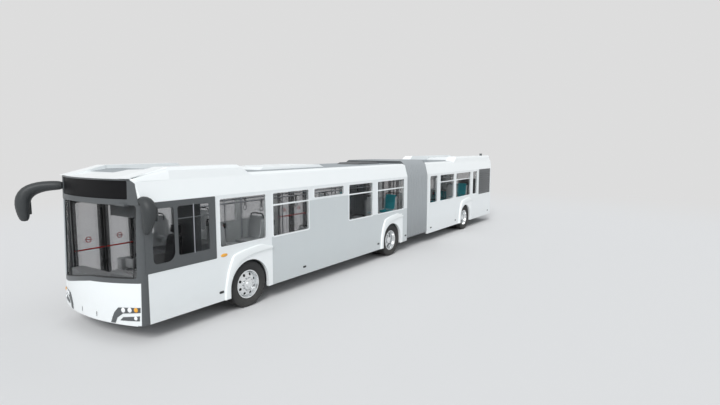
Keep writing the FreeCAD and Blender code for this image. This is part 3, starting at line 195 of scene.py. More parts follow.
def bumped(tree, shader, value, distance):
    bump = tree.nodes.new("ShaderNodeBump")
    bump.inputs["Strength"].default_value = 0.5
    bump.inputs["Distance"].default_value = distance
    tree.links.new(value, bump.inputs["Height"])
    tree.links.new(bump.outputs["Normal"], shader.inputs["Normal"])


def newMaterial(name):
    material = bpy.data.materials.new(name)
    material.use_nodes = True
    return material, material.node_tree, material.node_tree.nodes["Principled BSDF"]


def setPlain(shader, **values):
    # what is the same all over, on the shader's own sockets; _ stands for a space
    for label, value in values.items():
        shader.inputs[label.replace("_", " ")].default_value = value


def finish(name, colour, second, roughness, scale=40.0, contrast=1.0, bump=0.0, dust=0.0,
           dustColour=(0.30, 0.28, 0.25), **plain):
    # colour and roughness drift between two values with a fine grain
    material, tree, shader = newMaterial(name)
    grain = useGroup(tree, fineGrain, Scale=scale, Contrast=contrast)
    tone = blendColour(tree, grain, colour, second)
    if dust:
        tone = blendColour(tree, useGroup(tree, roadDust, Amount=dust), tone, dustColour)
    tree.links.new(tone, shader.inputs["Base Color"])
    tree.links.new(ranged(tree, grain, *roughness), shader.inputs["Roughness"])
    if bump:
        bumped(tree, shader, grain, bump)
    setPlain(shader, **plain)
    return material


def clothFinish(name, colour, second, scale=400.0, threadHigh=0.0006):
    material, tree, shader = newMaterial(name)
    weave = useGroup(tree, threadWeave, Scale=scale)
    tree.links.new(blendColour(tree, weave, colour, second), shader.inputs["Base Color"])
    setPlain(shader, Roughness=0.9, Sheen_Weight=0.3)
    bumped(tree, shader, weave, threadHigh)
    return material


def glassFinish(name, tint, alpha, coat):
    # a tinted pane: the tint colours what goes through, the coat gives its shine
    material, tree, shader = newMaterial(name)
    grain = useGroup(tree, fineGrain, Scale=3.0, Contrast=0.6)
    tree.links.new(ranged(tree, grain, 0.0, 0.02), shader.inputs["Roughness"])
    setPlain(shader, Base_Color=(*tint, 1), Alpha=alpha, Transmission_Weight=1.0, IOR=1.02, Coat_Weight=coat)
    return material


whitePaint = finish("whitePaint", (0.83, 0.87, 0.88), (0.86, 0.89, 0.90), (0.28, 0.36),
                    scale=3.0, dust=0.22, Coat_Weight=0.4, Coat_Roughness=0.12)
# painted highlight: a lighter copy of the walls' white paint for the roof, fairings, arch flares and roof cheeks
paintedHighlightWhite = finish("paintedHighlightWhite", (0.91, 0.95, 0.955), (0.94, 0.97, 0.975), (0.26, 0.34),
                     scale=3.0, dust=0.1, Coat_Weight=0.4, Coat_Roughness=0.12)
frameWhite = finish("frameWhite", (0.84, 0.88, 0.89), (0.88, 0.91, 0.92), (0.3, 0.4), scale=30.0)
# painted shade: a greyer copy of the white paint, for sheets on the side walls where the wall is the same white
# and only its shade is grey
paintedShadeGrey = finish("paintedShadeGrey", (0.60, 0.645, 0.66), (0.63, 0.67, 0.68), (0.34, 0.44),
                   scale=3.0, dust=0.25, Coat_Weight=0.2, Coat_Roughness=0.2)
darkTrim = finish("darkTrim", (0.075, 0.083, 0.088), (0.095, 0.103, 0.108), (0.38, 0.5),
                  scale=20.0, Coat_Weight=0.1, Coat_Roughness=0.3)
mirrorShell = finish("mirrorShell", (0.040, 0.044, 0.046), (0.055, 0.060, 0.062), (0.42, 0.52),
                     scale=60.0, bump=0.0003, Specular_IOR_Level=0.3)
blackPlastic = finish("blackPlastic", (0.012, 0.013, 0.014), (0.022, 0.023, 0.025), (0.4, 0.55),
                      scale=120.0, bump=0.0004)
displayBlack = finish("displayBlack", (0.004, 0.004, 0.005), (0.008, 0.008, 0.009), (0.45, 0.55),
                      scale=12.0, Specular_IOR_Level=0.12)
hatchGrey = finish("hatchGrey", (0.09, 0.095, 0.10), (0.12, 0.125, 0.13), (0.5, 0.6), scale=14.0)
roofGrey = finish("roofGrey", (0.33, 0.36, 0.38), (0.38, 0.41, 0.43), (0.6, 0.75), scale=9.0,
                  Specular_IOR_Level=0.2)
chassisBlack = finish("chassisBlack", (0.03, 0.03, 0.032), (0.055, 0.052, 0.05), (0.6, 0.8),
                      scale=30.0, bump=0.001, dust=0.5)
tyreRubber = finish("tyreRubber", (0.022, 0.023, 0.024), (0.034, 0.035, 0.036), (0.75, 0.9),
                    scale=90.0, bump=0.0008, dust=0.35, dustColour=(0.16, 0.15, 0.13))
rimSilver = finish("rimSilver", (0.80, 0.82, 0.83), (0.88, 0.90, 0.91), (0.20, 0.30), scale=60.0,
                   Metallic=0.8, Coat_Weight=0.2)
hubSteel = finish("hubSteel", (0.42, 0.43, 0.44), (0.52, 0.53, 0.54), (0.3, 0.45), scale=120.0,
                  Metallic=0.8)
railGrey = finish("railGrey", (0.30, 0.31, 0.34), (0.36, 0.37, 0.40), (0.3, 0.4), scale=60.0,
                  Coat_Weight=0.2)
railRed = finish("railRed", (0.50, 0.012, 0.015), (0.56, 0.02, 0.02), (0.3, 0.4), scale=60.0,
                 Coat_Weight=0.3)
seatGrey = finish("seatGrey", (0.40, 0.42, 0.43), (0.45, 0.47, 0.48), (0.45, 0.6), scale=150.0,
                  bump=0.0004)
seatTeal = finish("seatTeal", (0.008, 0.25, 0.30), (0.012, 0.30, 0.35), (0.4, 0.55), scale=150.0,
                  bump=0.0004)
shellGrey = finish("shellGrey", (0.62, 0.65, 0.66), (0.67, 0.69, 0.70), (0.4, 0.5), scale=120.0)
floorVinyl = finish("floorVinyl", (0.20, 0.21, 0.22), (0.30, 0.31, 0.32), (0.55, 0.7), scale=260.0,
                    contrast=2.0, bump=0.0003)
dashPlastic = finish("dashPlastic", (0.30, 0.31, 0.315), (0.35, 0.36, 0.365), (0.6, 0.72),
                     scale=300.0, bump=0.0005)
bellowsRubber = finish("bellowsRubber", (0.325, 0.345, 0.36), (0.37, 0.395, 0.41), (0.7, 0.85),
                       scale=220.0, bump=0.0005, dust=0.2)
sideGlass = glassFinish("sideGlass", (0.16, 0.16, 0.165), 0.34, 0.12)
frontGlass = glassFinish("frontGlass", (0.16, 0.16, 0.165), 0.28, 0.06)
doorGlass = glassFinish("doorGlass", (0.16, 0.155, 0.16), 0.36, 0.12)
lampWhite = finish("lampWhite", (0.85, 0.88, 0.90), (0.92, 0.94, 0.95), (0.08, 0.15), scale=80.0,
                   Coat_Weight=0.8)
lampAmber = finish("lampAmber", (0.80, 0.36, 0.03), (0.88, 0.44, 0.05), (0.15, 0.25), scale=120.0,
                   Coat_Weight=0.6)
lampRed = finish("lampRed", (0.42, 0.01, 0.01), (0.50, 0.02, 0.015), (0.15, 0.25), scale=120.0,
                 Coat_Weight=0.6)
lampDiffuser = finish("lampDiffuser", (0.88, 0.89, 0.90), (0.92, 0.93, 0.94), (0.4, 0.5), scale=60.0,
                      Emission_Strength=4.0, Emission_Color=(1.0, 0.99, 0.97, 1))
mirrorGlass = finish("mirrorGlass", (0.80, 0.82, 0.83), (0.84, 0.86, 0.87), (0.02, 0.05), scale=10.0,
                     Metallic=1.0)
seatCloth = clothFinish("seatCloth", (0.02, 0.021, 0.024), (0.045, 0.047, 0.052))
print("finishes made")


def clad(material, *names):
    # gives the solids that stay visible their finish
    for name in names:
        slots = nodes[name].data.materials
        slots.clear()
        slots.append(material)


clad(whitePaint, "front_left_wall", "front_right_wall", "front_bumper", "rear_left_wall", "rear_right_wall",
     "rear_end")
# the roof and fairings take the white with its painted highlight
clad(paintedHighlightWhite, "front_roof", "rear_roof", "front_fairing", "rear_fairing")
clad(darkTrim, "front_mask", "exhaust")
clad(floorVinyl, "front_floor", "rear_floor")
clad(chassisBlack, "front_axle", "middle_axle", "rear_axle", "turntable_base", "turntable_ring",
     "knuckle_left", "knuckle_right", "track_rod")
clad(hatchGrey, "engine")
clad(sideGlass, "front_side_glass", "rear_side_glass", "rear_window")
clad(frontGlass, "windscreen")
clad(railGrey, "front_handrails", "rear_handrails")
clad(dashPlastic, "drivers_cab")
clad(displayBlack, "display_box")


# mesh helpers

def addObject(name, data):
    item = bpy.data.objects.new(name, data)
    bpy.context.scene.collection.objects.link(item)
    return item


def meshFrom(bm, name):
    mesh = bpy.data.meshes.new(name)
    bm.to_mesh(mesh)
    bm.free()
    return mesh


def joinInto(target, bm):
    # adds one bmesh to another and frees it
    mesh = meshFrom(bm, "part")
    target.from_mesh(mesh)
    bpy.data.meshes.remove(mesh)


def makePiece(name, bm, materials, body, replaced=(), smooth=40.0):
    # turns a finished bmesh into a piece that rides on a body
    mesh = meshFrom(bm, name)
    mesh.shade_smooth()
    mesh.set_sharp_from_angle(angle=math.radians(smooth))
    for material in (materials if isinstance(materials, list) else [materials]):
        mesh.materials.append(material)
    piece = addObject(name, mesh)
    if body:
        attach(piece, body)
    if replaced:
        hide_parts(*replaced)
    return piece


def facesOf(verts):
    return {face for vert in verts for face in vert.link_faces}


def paint(faces, materialIndex):
    for face in faces:
        face.material_index = materialIndex


def outward(bm, reach=0.00005):
    bmesh.ops.remove_doubles(bm, verts=bm.verts, dist=reach)
    bmesh.ops.recalc_face_normals(bm, faces=bm.faces)


def softenEdges(bm, edges, offset, segments=2):
    bmesh.ops.bevel(bm, geom=edges, offset=offset, offset_type="OFFSET", affect="EDGES",
                    segments=segments, profile=0.5, material=-1)


def extruded(bm, faces):
    # extrudes faces where they lie and returns the new vertices
    made = bmesh.ops.extrude_face_region(bm, geom=faces)
    return {item for item in made["geom"] if isinstance(item, bmesh.types.BMVert)}


def addBox(bm, lows, highs, bevel=0.0, segments=2, materialIndex=0):
    # a box from its corners, with softened edges
    middle = (Vector(lows) + Vector(highs)) / 2
    sizes = Vector(highs) - Vector(lows)
    made = bmesh.ops.create_cube(bm, size=1.0, matrix=Matrix.LocRotScale(middle, None, sizes))
    faces = facesOf(made["verts"])
    paint(faces, materialIndex)
    if bevel:
        softenEdges(bm, list({edge for vert in made["verts"] for edge in vert.link_edges}), bevel, segments)
    return faces


def addTube(bm, start, end, radius, segments=14, materialIndex=0):
    # a closed round bar between two points
    start, end = Vector(start), Vector(end)
    run = end - start
    turn = run.to_track_quat("Z", "Y").to_matrix().to_4x4()
    made = bmesh.ops.create_cone(bm, cap_ends=True, segments=segments, radius1=radius, radius2=radius,
                                 depth=run.length, matrix=Matrix.Translation((start + end) / 2) @ turn)
    paint(facesOf(made["verts"]), materialIndex)


def addPath(bm, points, radius, segments, materialIndex=0):
    for first, second in zip(points, points[1:]):
        addTube(bm, first, second, radius, segments, materialIndex)


def addDome(bm, sizes, matrix, segments=20, materialIndex=0):
    # a flattened ball from its half sizes
    made = bmesh.ops.create_uvsphere(bm, u_segments=segments, v_segments=segments // 2, radius=1.0,
                                     matrix=matrix @ Matrix.Diagonal((*sizes, 1)))
    paint(facesOf(made["verts"]), materialIndex)


def addLathe(bm, profile, centre, side=1, steps=48, materialIndex=0):
    # turns a closed loop of (outward distance, radius) about a line along Y through the centre
    verts = [bm.verts.new((centre[0], centre[1] + side * across, centre[2] + radius))
             for across, radius in profile]
    edges = [bm.edges.new(pair) for pair in zip(verts, verts[1:] + verts[:1])]
    before = set(bm.faces)
    bmesh.ops.spin(bm, geom=verts + edges, cent=centre, axis=(0, 1, 0), angle=math.tau,
                   steps=steps, use_merge=True, use_duplicate=False)
    paint(set(bm.faces) - before, materialIndex)


def bridgeRings(bm, rings, capped=False):
    # skins a row of closed rings of vertices
    for first, second in zip(rings, rings[1:]):
        edges = [bm.edges.get(pair) or bm.edges.new(pair)
                 for ring in (first, second) for pair in zip(ring, ring[1:] + ring[:1])]
        bmesh.ops.bridge_loops(bm, edges=edges)
    if capped:
        for ring in (rings[0], rings[-1]):
            bm.faces.new(ring)
    bmesh.ops.recalc_face_normals(bm, faces=bm.faces)


def roundedLoop(lows, highs, radius, segments=5):
    # a rectangle with round corners, as points (u, v); the radius is one number, or one for each
    # corner from the right top round by the left
    radii = radius if isinstance(radius, tuple) else (radius,) * 4
    points = []
    for number, (signU, signV) in enumerate(((1, 1), (-1, 1), (-1, -1), (1, -1))):
        bend = radii[number]
        centreU = (highs[0] if signU > 0 else lows[0]) - signU * bend
        centreV = (highs[1] if signV > 0 else lows[1]) - signV * bend
        for step in range(segments + 1):
            angle = math.radians(90 * number + 90 * step / segments)
            points.append((centreU + bend * math.cos(angle), centreV + bend * math.sin(angle)))
    return points


def squareLoop(lows, highs):
    return [(highs[0], highs[1]), (lows[0], highs[1]), (lows[0], lows[1]), (highs[0], lows[1])]


def flatOutline(loops, materialIndex=0):
    # a flat face in (u, v), the later loops being its holes
    bm = bmesh.new()
    for loop in loops:
        verts = [bm.verts.new((u, v, 0)) for u, v in loop]
        for pair in zip(verts, verts[1:] + verts[:1]):
            bm.edges.new(pair)
    bmesh.ops.triangle_fill(bm, use_beauty=True, use_dissolve=False, edges=bm.edges[:])
    paint(bm.faces, materialIndex)
    return bm


def bentSheet(loops, place, thick, lift=-sunk, cutsU=(), cutsV=(), materialIndex=0):
    # an outline bent onto a surface and given thickness: place(u, v, height) gives each point
    bm = flatOutline(loops, materialIndex)
    for axis, cuts in ((Vector((1, 0, 0)), cutsU), (Vector((0, 1, 0)), cutsV)):
        for value in cuts:
            bmesh.ops.bisect_plane(bm, geom=bm.verts[:] + bm.edges[:] + bm.faces[:],
                                   plane_co=axis * value, plane_no=axis)
    raised = extruded(bm, bm.faces[:])
    for vert in bm.verts:
        vert.co = place(vert.co.x, vert.co.y, lift + (thick if vert in raised else 0.0))
    bmesh.ops.recalc_face_normals(bm, faces=bm.faces)
    return bm


def sideSheet(side, loops, thick, lift=-sunk, materialIndex=0):
    # a sheet on a side wall, its loops as (x, z)
    return bentSheet(loops, lambda u, v, height: Vector((u, side * (sideFace + height), v)), thick, lift,
                     materialIndex=materialIndex)


def steps(first, last, count):
    return [first + (last - first) * number / count for number in range(count + 1)]


def islands(node):
    # the boxes of a node's separate solids, and where each one's highest points lie along X
    bm = bmesh.new()
    bm.from_mesh(nodes[node].data)
    bmesh.ops.remove_doubles(bm, verts=bm.verts, dist=0.0002)
    left = set(bm.verts)
    found = []
    while left:
        stack = [left.pop()]
        group = set(stack)
        while stack:
            for edge in stack.pop().link_edges:
                for vert in edge.verts:
                    if vert not in group:
                        group.add(vert)
                        stack.append(vert)
        left -= group
        lows = Vector(min(vert.co[axis] for vert in group) for axis in range(3))
        highs = Vector(max(vert.co[axis] for vert in group) for axis in range(3))
        top = [vert.co.x for vert in group if vert.co.z > highs.z - 0.01]
        found.append((lows, highs, sum(top) / len(top)))
    bm.free()
    return sorted(found, key=lambda item: (-item[0].x, item[0].y))


# the nose: an arc in plan that leans back, with round corners to the sides

nose = {"sweep": 3.6, "lean": 0.09 / 3.2, "corner": 0.15}


def noseFrame(height):
    # the arc's centre, its radius, the corner's centre, and the angle where they meet, at a height
    sweep = nose["sweep"] - nose["lean"] * height
    centreX = noseTip - nose["sweep"] + nose["lean"] * skirtLow
    inward = sideFace - nose["corner"]
    cornerX = centreX + math.sqrt((sweep - nose["corner"]) ** 2 - inward ** 2)
    return centreX, sweep, cornerX, math.atan2(inward, cornerX - centreX)


def onNose(distance, height, lift):
    # distance runs along the plan curve from the centre line, positive to the left
    centreX, sweep, cornerX, tangent = noseFrame(height)
    hand = 1 if distance >= 0 else -1
    run = abs(distance)
    if run <= sweep * tangent:
        angle = run / sweep
        return Vector((centreX + (sweep + lift) * math.cos(angle),
                       hand * (sweep + lift) * math.sin(angle), height))
    angle = tangent + (run - sweep * tangent) / nose["corner"]
    if angle <= math.pi / 2:
        radius = nose["corner"] + lift
        return Vector((cornerX + radius * math.cos(angle),
                       hand * (sideFace - nose["corner"] + radius * math.sin(angle)), height))
    past = run - sweep * tangent - nose["corner"] * (math.pi / 2 - tangent)
    return Vector((cornerX - past, hand * (sideFace + lift), height))


def runAt(across, height):
    # the distance along the plan curve at which the nose is this far across
    _, sweep, _, tangent = noseFrame(height)
    hand = 1 if across >= 0 else -1
    if abs(across) <= sweep * math.sin(tangent):
        return hand * sweep * math.asin(abs(across) / sweep)
    past = min((abs(across) - (sideFace - nose["corner"])) / nose["corner"], 0.999)
    return hand * (sweep * tangent + nose["corner"] * (math.asin(past) - tangent))


def noseSheet(loops, thick, lift=-sunk, cuts=14):
    # a sheet on the nose, its loops as (across, height)
    spanU, spanV = ([point[axis] for loop in loops for point in loop] for axis in (0, 1))
    return bentSheet(loops, lambda u, v, height: onNose(runAt(u, v), v, height), thick, lift,
                     steps(min(spanU), max(spanU), cuts)[1:-1], steps(min(spanV), max(spanV), 3)[1:-1])


# lips and webs of the wheel arches

flare = {
    # places as (ahead of the wheel's centre, height above the road), from the front foot to the rear
    "outer": ((0.685, 0.32), (0.672, 0.50), (0.645, 0.66), (0.595, 0.86), (0.525, 1.035), (0.475, 1.135),
              (0.415, 1.185), (0.25, 1.228), (-0.02, 1.262), (-0.27, 1.282), (-0.36, 1.276),
              (-0.55, 1.218), (-0.66, 1.190)),
    "inner": ((0.548, 0.32), (0.546, 0.50), (0.532, 0.64), (0.458, 0.81), (0.360, 0.945), (0.250, 1.032),
              (0.070, 1.084), (-0.12, 1.116), (-0.35, 1.134), (-0.66, 1.140)),
    "front": 0.69, "rear": 0.66, "top": 1.27, "opening": 0.53,
    "lipProud": 0.042, "webProud": 0.012, "round": 0.020, "roundPast": 0.02, "roundAngle": 0.9,
}


def makeFlares(vehicle, wheels):
    bm = bmesh.new()
    outer, inner = list(flare["outer"]), list(flare["inner"])
    radius = flare["opening"]
    opening = [(radius * math.cos(math.radians(angle)),
                axles["front"].z + radius * math.sin(math.radians(angle))) for angle in range(0, 181, 9)]
    web = [(-flare["rear"], skirtLow), *inner[::-1], (radius, skirtLow), *opening, (-radius, skirtLow)]
    for wheel in wheels:
        webLoop, lipLoop = ([(axles[wheel].x + ahead, height) for ahead, height in points]
                            for points in (web, outer + inner[::-1]))
        for side in (1, -1):
            joinInto(bm, sideSheet(side, [webLoop], flare["webProud"]))
            lip = sideSheet(side, [lipLoop], flare["lipProud"])
            edges = [edge for edge in lip.edges if edge.calc_face_angle(0) > flare["roundAngle"]
                     and all(abs(vert.co.y) > sideFace + flare["roundPast"] for vert in edge.verts)]
            softenEdges(lip, edges, flare["round"], 4)
            joinInto(bm, lip)
    # the flares take the white with its painted highlight
    makePiece(f"flares_{vehicle}", bm, paintedHighlightWhite, f"{vehicle}_section",
              (f"{vehicle}_arch_flares",), 35)


makeFlares("front", ("front", "middle"))
makeFlares("rear", ("rear",))

windowTrim = {
    "frame": 0.020,        # frame outside the pane's opening
    "cover": 0.014,        # frame over the pane's edge
    "outerRound": 0.055, "innerRound": 0.035, "proud": 0.006,
    "barHigh": 2.07,       # middle of the vent bar above the road
    "barWide": 0.034, "barDeep": 0.005, "barProud": 0.004, "barRound": 0.003,
    "barShortest": 0.75, "barLowest": 0.5,   # panes shorter or lower than this have no bar
    "plainNear": 0.3,      # nor has the pane this near above the front axle
    "driverAhead": 0.8,    # the driver's panes have a panel of their own
}


def makeWindowTrim(vehicle):
    form = windowTrim
    wide, cover, half = form["frame"], form["cover"], form["barWide"] / 2
    frames = bmesh.new()
    for lows, highs, _ in islands(f"{vehicle}_side_glass"):
        if lows.y > 0 and lows.x > behind(-form["driverAhead"]):
            continue
        side = 1 if lows.y > 0 else -1
        ring = roundedLoop((lows.x - wide, lows.z - wide), (highs.x + wide, highs.z + wide),
                           form["outerRound"])
        hole = roundedLoop((lows.x + cover, lows.z + cover), (highs.x - cover, highs.z - cover),
                           form["innerRound"])
        joinInto(frames, sideSheet(side, [ring, hole], form["proud"]))
        isLarge = highs.z - lows.z > form["barLowest"] and highs.x - lows.x > form["barShortest"]
        isPlain = vehicle == "front" and abs((lows.x + highs.x) / 2 - frontAxle) < form["plainNear"]
        if isLarge and not isPlain:
            near, far = sorted((side * (sideFace - form["barDeep"]), side * (sideFace + form["barProud"])))
            addBox(frames, (lows.x, near, form["barHigh"] - half), (highs.x, far, form["barHigh"] + half),
                   form["barRound"])
    makePiece(f"window_frames_{vehicle}", frames, frameWhite, f"{vehicle}_section")


makeWindowTrim("front")
makeWindowTrim("rear")
print("shell dressed")


# wheels, their profiles as loops of (outward distance, radius)

tyre = {
    "radius": 0.478, "steps": 64, "twinSpacing": 0.31,
    "grooves": (-0.066, -0.022, 0.022, 0.066), "grooveHalf": 0.006, "grooveDeep": 0.012,
    "grooveSlope": 0.002,
    # from the bead's inner edge over the sidewall to the shoulder
    "side": ((0.100, 0.287), (0.1005, 0.302), (0.112, 0.325), (0.128, 0.352), (0.1375, 0.385),
             (0.1365, 0.405), (0.1375, 0.408), (0.1355, 0.432), (0.128, 0.455), (0.118, 0.470),
             (0.112, 0.477)),
}

rim = {
    "steps": 56, "holes": 8, "holeCircle": 0.207, "holeRadius": 0.030,
    "nuts": 10, "nutCircle": 0.132,
    "nutSteps": ((0.022, 0.013, 6), (0.032, 0.0078, 10)),   # height, radius and sides
    "barrel": ((-0.110, 0.2735), (-0.1105, 0.2965), (-0.108, 0.2995), (-0.103, 0.2995),
               (-0.1007, 0.2955), (-0.1005, 0.2855), (-0.060, 0.2815), (-0.045, 0.2695),
               (0.045, 0.2695), (0.060, 0.2815), (0.1005, 0.2855), (0.1007, 0.2955),
               (0.103, 0.2995), (0.108, 0.2995), (0.1105, 0.2965), (0.108, 0.2775),
               (0.060, 0.2695), (0.040, 0.2575), (-0.040, 0.2575), (-0.060, 0.2695)),
    "shieldFrom": 0.115, "shieldTo": 0.255, "shieldThick": 0.01, "shieldSteps": 40,
}

# a shallow dome with its hub ring, and a deep dish behind the outer of two barrels
discs = {
    "single": {
        "profile": ((0.040, 0.2555), (0.052, 0.250), (0.062, 0.236), (0.074, 0.200), (0.088, 0.160),
                    (0.092, 0.122), (0.118, 0.116), (0.130, 0.100), (0.134, 0.072), (0.146, 0.066),
                    (0.150, 0.030), (0.151, 0.0), (0.020, 0.0), (0.020, 0.112), (0.076, 0.118),
                    (0.072, 0.160), (0.058, 0.200), (0.046, 0.236), (0.030, 0.2555)),
        "holesSpan": (0.0, 0.12), "nutsAt": 0.090, "shieldAt": 0.010,
    },
    "twin": {
        "profile": ((-0.070, 0.2555), (-0.094, 0.250), (-0.112, 0.232), (-0.114, 0.168),
                    (-0.114, 0.140), (-0.060, 0.134), (0.010, 0.118), (0.016, 0.104), (0.050, 0.098),
                    (0.058, 0.060), (0.060, 0.0), (-0.130, 0.0), (-0.130, 0.226), (-0.112, 0.246),
                    (-0.088, 0.2555)),
        "holesSpan": (-0.2, 0.0), "nutsAt": -0.114, "shieldAt": -0.150,
    },
}


def tyreProfile():
    top, deep = tyre["radius"], tyre["radius"] - tyre["grooveDeep"]
    reach, foot = tyre["grooveHalf"], tyre["grooveHalf"] - tyre["grooveSlope"]
    tread = [point for middle in reversed(tyre["grooves"])
             for point in ((middle + reach, top), (middle + foot, deep), (middle - foot, deep),
                           (middle - reach, top))]
    side = list(tyre["side"])
    return side + tread + [(-across, radius) for across, radius in side[::-1]]


def addRods(bm, centre, side, count, circle, span, radius, segments, turned=0.0, materialIndex=0):
    # rods along the axle's line, set round it
    for number in range(count):
        angle = math.tau * (number + turned) / count
        x, z = centre.x + circle * math.cos(angle), centre.z + circle * math.sin(angle)
        addTube(bm, (x, centre.y + side * span[0], z), (x, centre.y + side * span[1], z), radius,
                segments, materialIndex)


def cutWith(piece, cutter, smooth=35.0):
    # applies a boolean cut and removes the cutter
    mesh = meshFrom(cutter, "cutter")
    tool = addObject("cutter", mesh)
    modifier = piece.modifiers.new("cut", "BOOLEAN")
    modifier.operation = "DIFFERENCE"
    modifier.solver = "EXACT"
    modifier.object = tool
    bpy.context.view_layer.update()
    applied = bpy.data.meshes.new_from_object(piece.evaluated_get(bpy.context.evaluated_depsgraph_get()))
    piece.modifiers.clear()
    old = piece.data
    piece.data = applied
    bpy.data.meshes.remove(old)
    bpy.data.objects.remove(tool)
    bpy.data.meshes.remove(mesh)
    applied.shade_smooth()
    applied.set_sharp_from_angle(angle=math.radians(smooth))


def makeWheel(name, word, side):
    place = axles[name]
    centre = Vector((place.x, side * place.y, place.z))
    body = f"wheel_{name}_{word}"
    form = discs["single" if name == "front" else "twin"]
    rubber, disc, holes, barrels = (bmesh.new() for _ in range(4))
    for shift in ((0,) if name == "front" else (0, tyre["twinSpacing"])):
        moved = centre - Vector((0, side * shift, 0))
        addLathe(rubber, tyreProfile(), moved, side, tyre["steps"])
        addLathe(barrels, rim["barrel"], moved, side, rim["steps"])
    outward(rubber)
    makePiece(f"tread_{name}_{word}", rubber, tyreRubber, body, (f"tyre_{name}_{word}",), 30)
    addLathe(disc, form["profile"], centre, side, rim["steps"])
    outward(disc)
    piece = makePiece(f"disc_{name}_{word}", disc, rimSilver, body)
    addRods(holes, centre, side, rim["holes"], rim["holeCircle"], form["holesSpan"], rim["holeRadius"],
            16, 0.5)
    cutWith(piece, holes)
    outward(barrels)
    start = form["nutsAt"]
    for rise, radius, segments in rim["nutSteps"]:
        addRods(barrels, centre, side, rim["nuts"], rim["nutCircle"], (start, start + rise), radius,
                segments, materialIndex=1)
    shield = squareLoop((form["shieldAt"] - rim["shieldThick"], rim["shieldFrom"]),
                        (form["shieldAt"], rim["shieldTo"]))
    addLathe(barrels, shield, centre, side, rim["shieldSteps"], 2)
    makePiece(f"barrel_{name}_{word}", barrels, [rimSilver, hubSteel, chassisBlack], body,
              (f"rim_{name}_{word}",))


for axleName in axles:
    for word, side in (("left", 1), ("right", -1)):
        makeWheel(axleName, word, side)
print("wheels made")


# roof deck, roof units and the closed ends of the raised side strips

roof = {
    "deckHalf": 0.98, "deckThick": 0.004, "deckSunk": 0.002,
    # from the roof's rear and front edges to the deck's
    "deckEnds": {"front": (0.02, 0.95), "rear": (0.30, 0.02)},
    "endSlope": 2.2, "sideSlope": 0.5, "unitRound": 0.012,
    "rib": 0.018, "ribEvery": 0.55, "ribInset": 0.12, "ribSunk": 0.004, "ribProud": 0.008,
    "ribRound": 0.004,
    "hatch": 2,      # which unit of the front saloon is the dark one
}

capPanel = {
    # ahead of the front axle and height: up the cap's slope, then level to its rear edge
    "profile": ((2.08, 2.855), (1.755, 2.900), (1.457, 2.900)), "wide": 0.795, "proud": 0.004,
}

cheek = {
    # rings of (ahead of the front axle or the tail's tip, across, height): the first joins the raised
    # side strip, the last dies out on the roof
    "cap": (((1.745, 1.183, 2.748), (1.745, 1.158, 2.911), (1.745, 1.118, 2.972), (1.745, 0.80, 2.972),
             (1.745, 0.80, 2.79), (1.745, 1.09, 2.79)),
            ((2.30, 1.183, 2.748), (2.40, 1.12, 2.796), (2.43, 1.10, 2.803), (2.47, 0.80, 2.803),
             (2.47, 0.80, 2.79), (2.43, 1.09, 2.79))),
    "tail": (((0.355, 1.183, 2.748), (0.355, 1.158, 2.911), (0.355, 1.118, 2.972), (0.355, 0.80, 2.972),
              (0.355, 0.80, 2.79), (0.355, 1.09, 2.79)),
             ((0.23, 1.160, 2.748), (0.21, 1.130, 2.900), (0.20, 1.090, 2.958), (0.16, 0.80, 2.962),
              (0.14, 0.80, 2.79), (0.18, 1.07, 2.79)),
             ((0.20, 1.125, 2.748), (0.165, 1.075, 2.82), (0.15, 1.03, 2.85), (0.11, 0.80, 2.86),
              (0.10, 0.80, 2.79), (0.14, 1.02, 2.79))),
    # the edges that are softened: between which angles, and how long at least
    "round": 0.02, "roundAngles": (0.25, 1.2), "roundLength": 0.15,
}


def addRoofUnit(bm, lows, highs, materialIndex):
    # a low lid with sloping ends and ribs, standing on the roof
    rise, long = highs.z - lows.z, highs.x - lows.x
    faces = addBox(bm, lows, highs, materialIndex=materialIndex)
    for vert in {vert for face in faces for vert in face.verts}:
        if vert.co.z > highs.z - rise / 2:
            vert.co.x -= math.copysign(roof["endSlope"] * rise, vert.co.x - (lows.x + highs.x) / 2)
            vert.co.y -= math.copysign(roof["sideSlope"] * rise, vert.co.y)
    softenEdges(bm, list({edge for face in faces for edge in face.edges}), roof["unitRound"])
    count = int(long / roof["ribEvery"])
    for number in range(1, count):
        x = lows.x + long * number / count
        addBox(bm, (x - roof["rib"], lows.y + roof["ribInset"], highs.z - roof["ribSunk"]),
               (x + roof["rib"], highs.y - roof["ribInset"], highs.z + roof["ribProud"]),
               roof["ribRound"], materialIndex=materialIndex)


def makeRoof(vehicle):
    lows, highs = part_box(f"{vehicle}_roof")
    bm = bmesh.new()
    rear, front = roof["deckEnds"][vehicle]
    addBox(bm, (lows.x + rear, -roof["deckHalf"], highs.z - roof["deckSunk"]),
           (highs.x - front, roof["deckHalf"], highs.z + roof["deckThick"]))
    for number, (unitLow, unitHigh, _) in enumerate(islands(f"{vehicle}_roof_units")):
        isHatch = vehicle == "front" and number == roof["hatch"]
        addRoofUnit(bm, unitLow, unitHigh, 2 if isHatch else min(number, 1))
    makePiece(f"roof_deck_{vehicle}", bm, [roofGrey, whitePaint, hatchGrey], f"{vehicle}_section",
              (f"{vehicle}_roof_units",), 35)


def makeCapPanel():
    top, under = ([(frontAxle + ahead, height + lift) for ahead, height in capPanel["profile"]]
                  for lift in (capPanel["proud"], -sunk))
    bm = bentSheet([top + under[::-1]], lambda u, v, height: Vector((u, height, v)), capPanel["wide"],
                   -capPanel["wide"])
    makePiece("cap_panel", bm, roofGrey, "front_section")


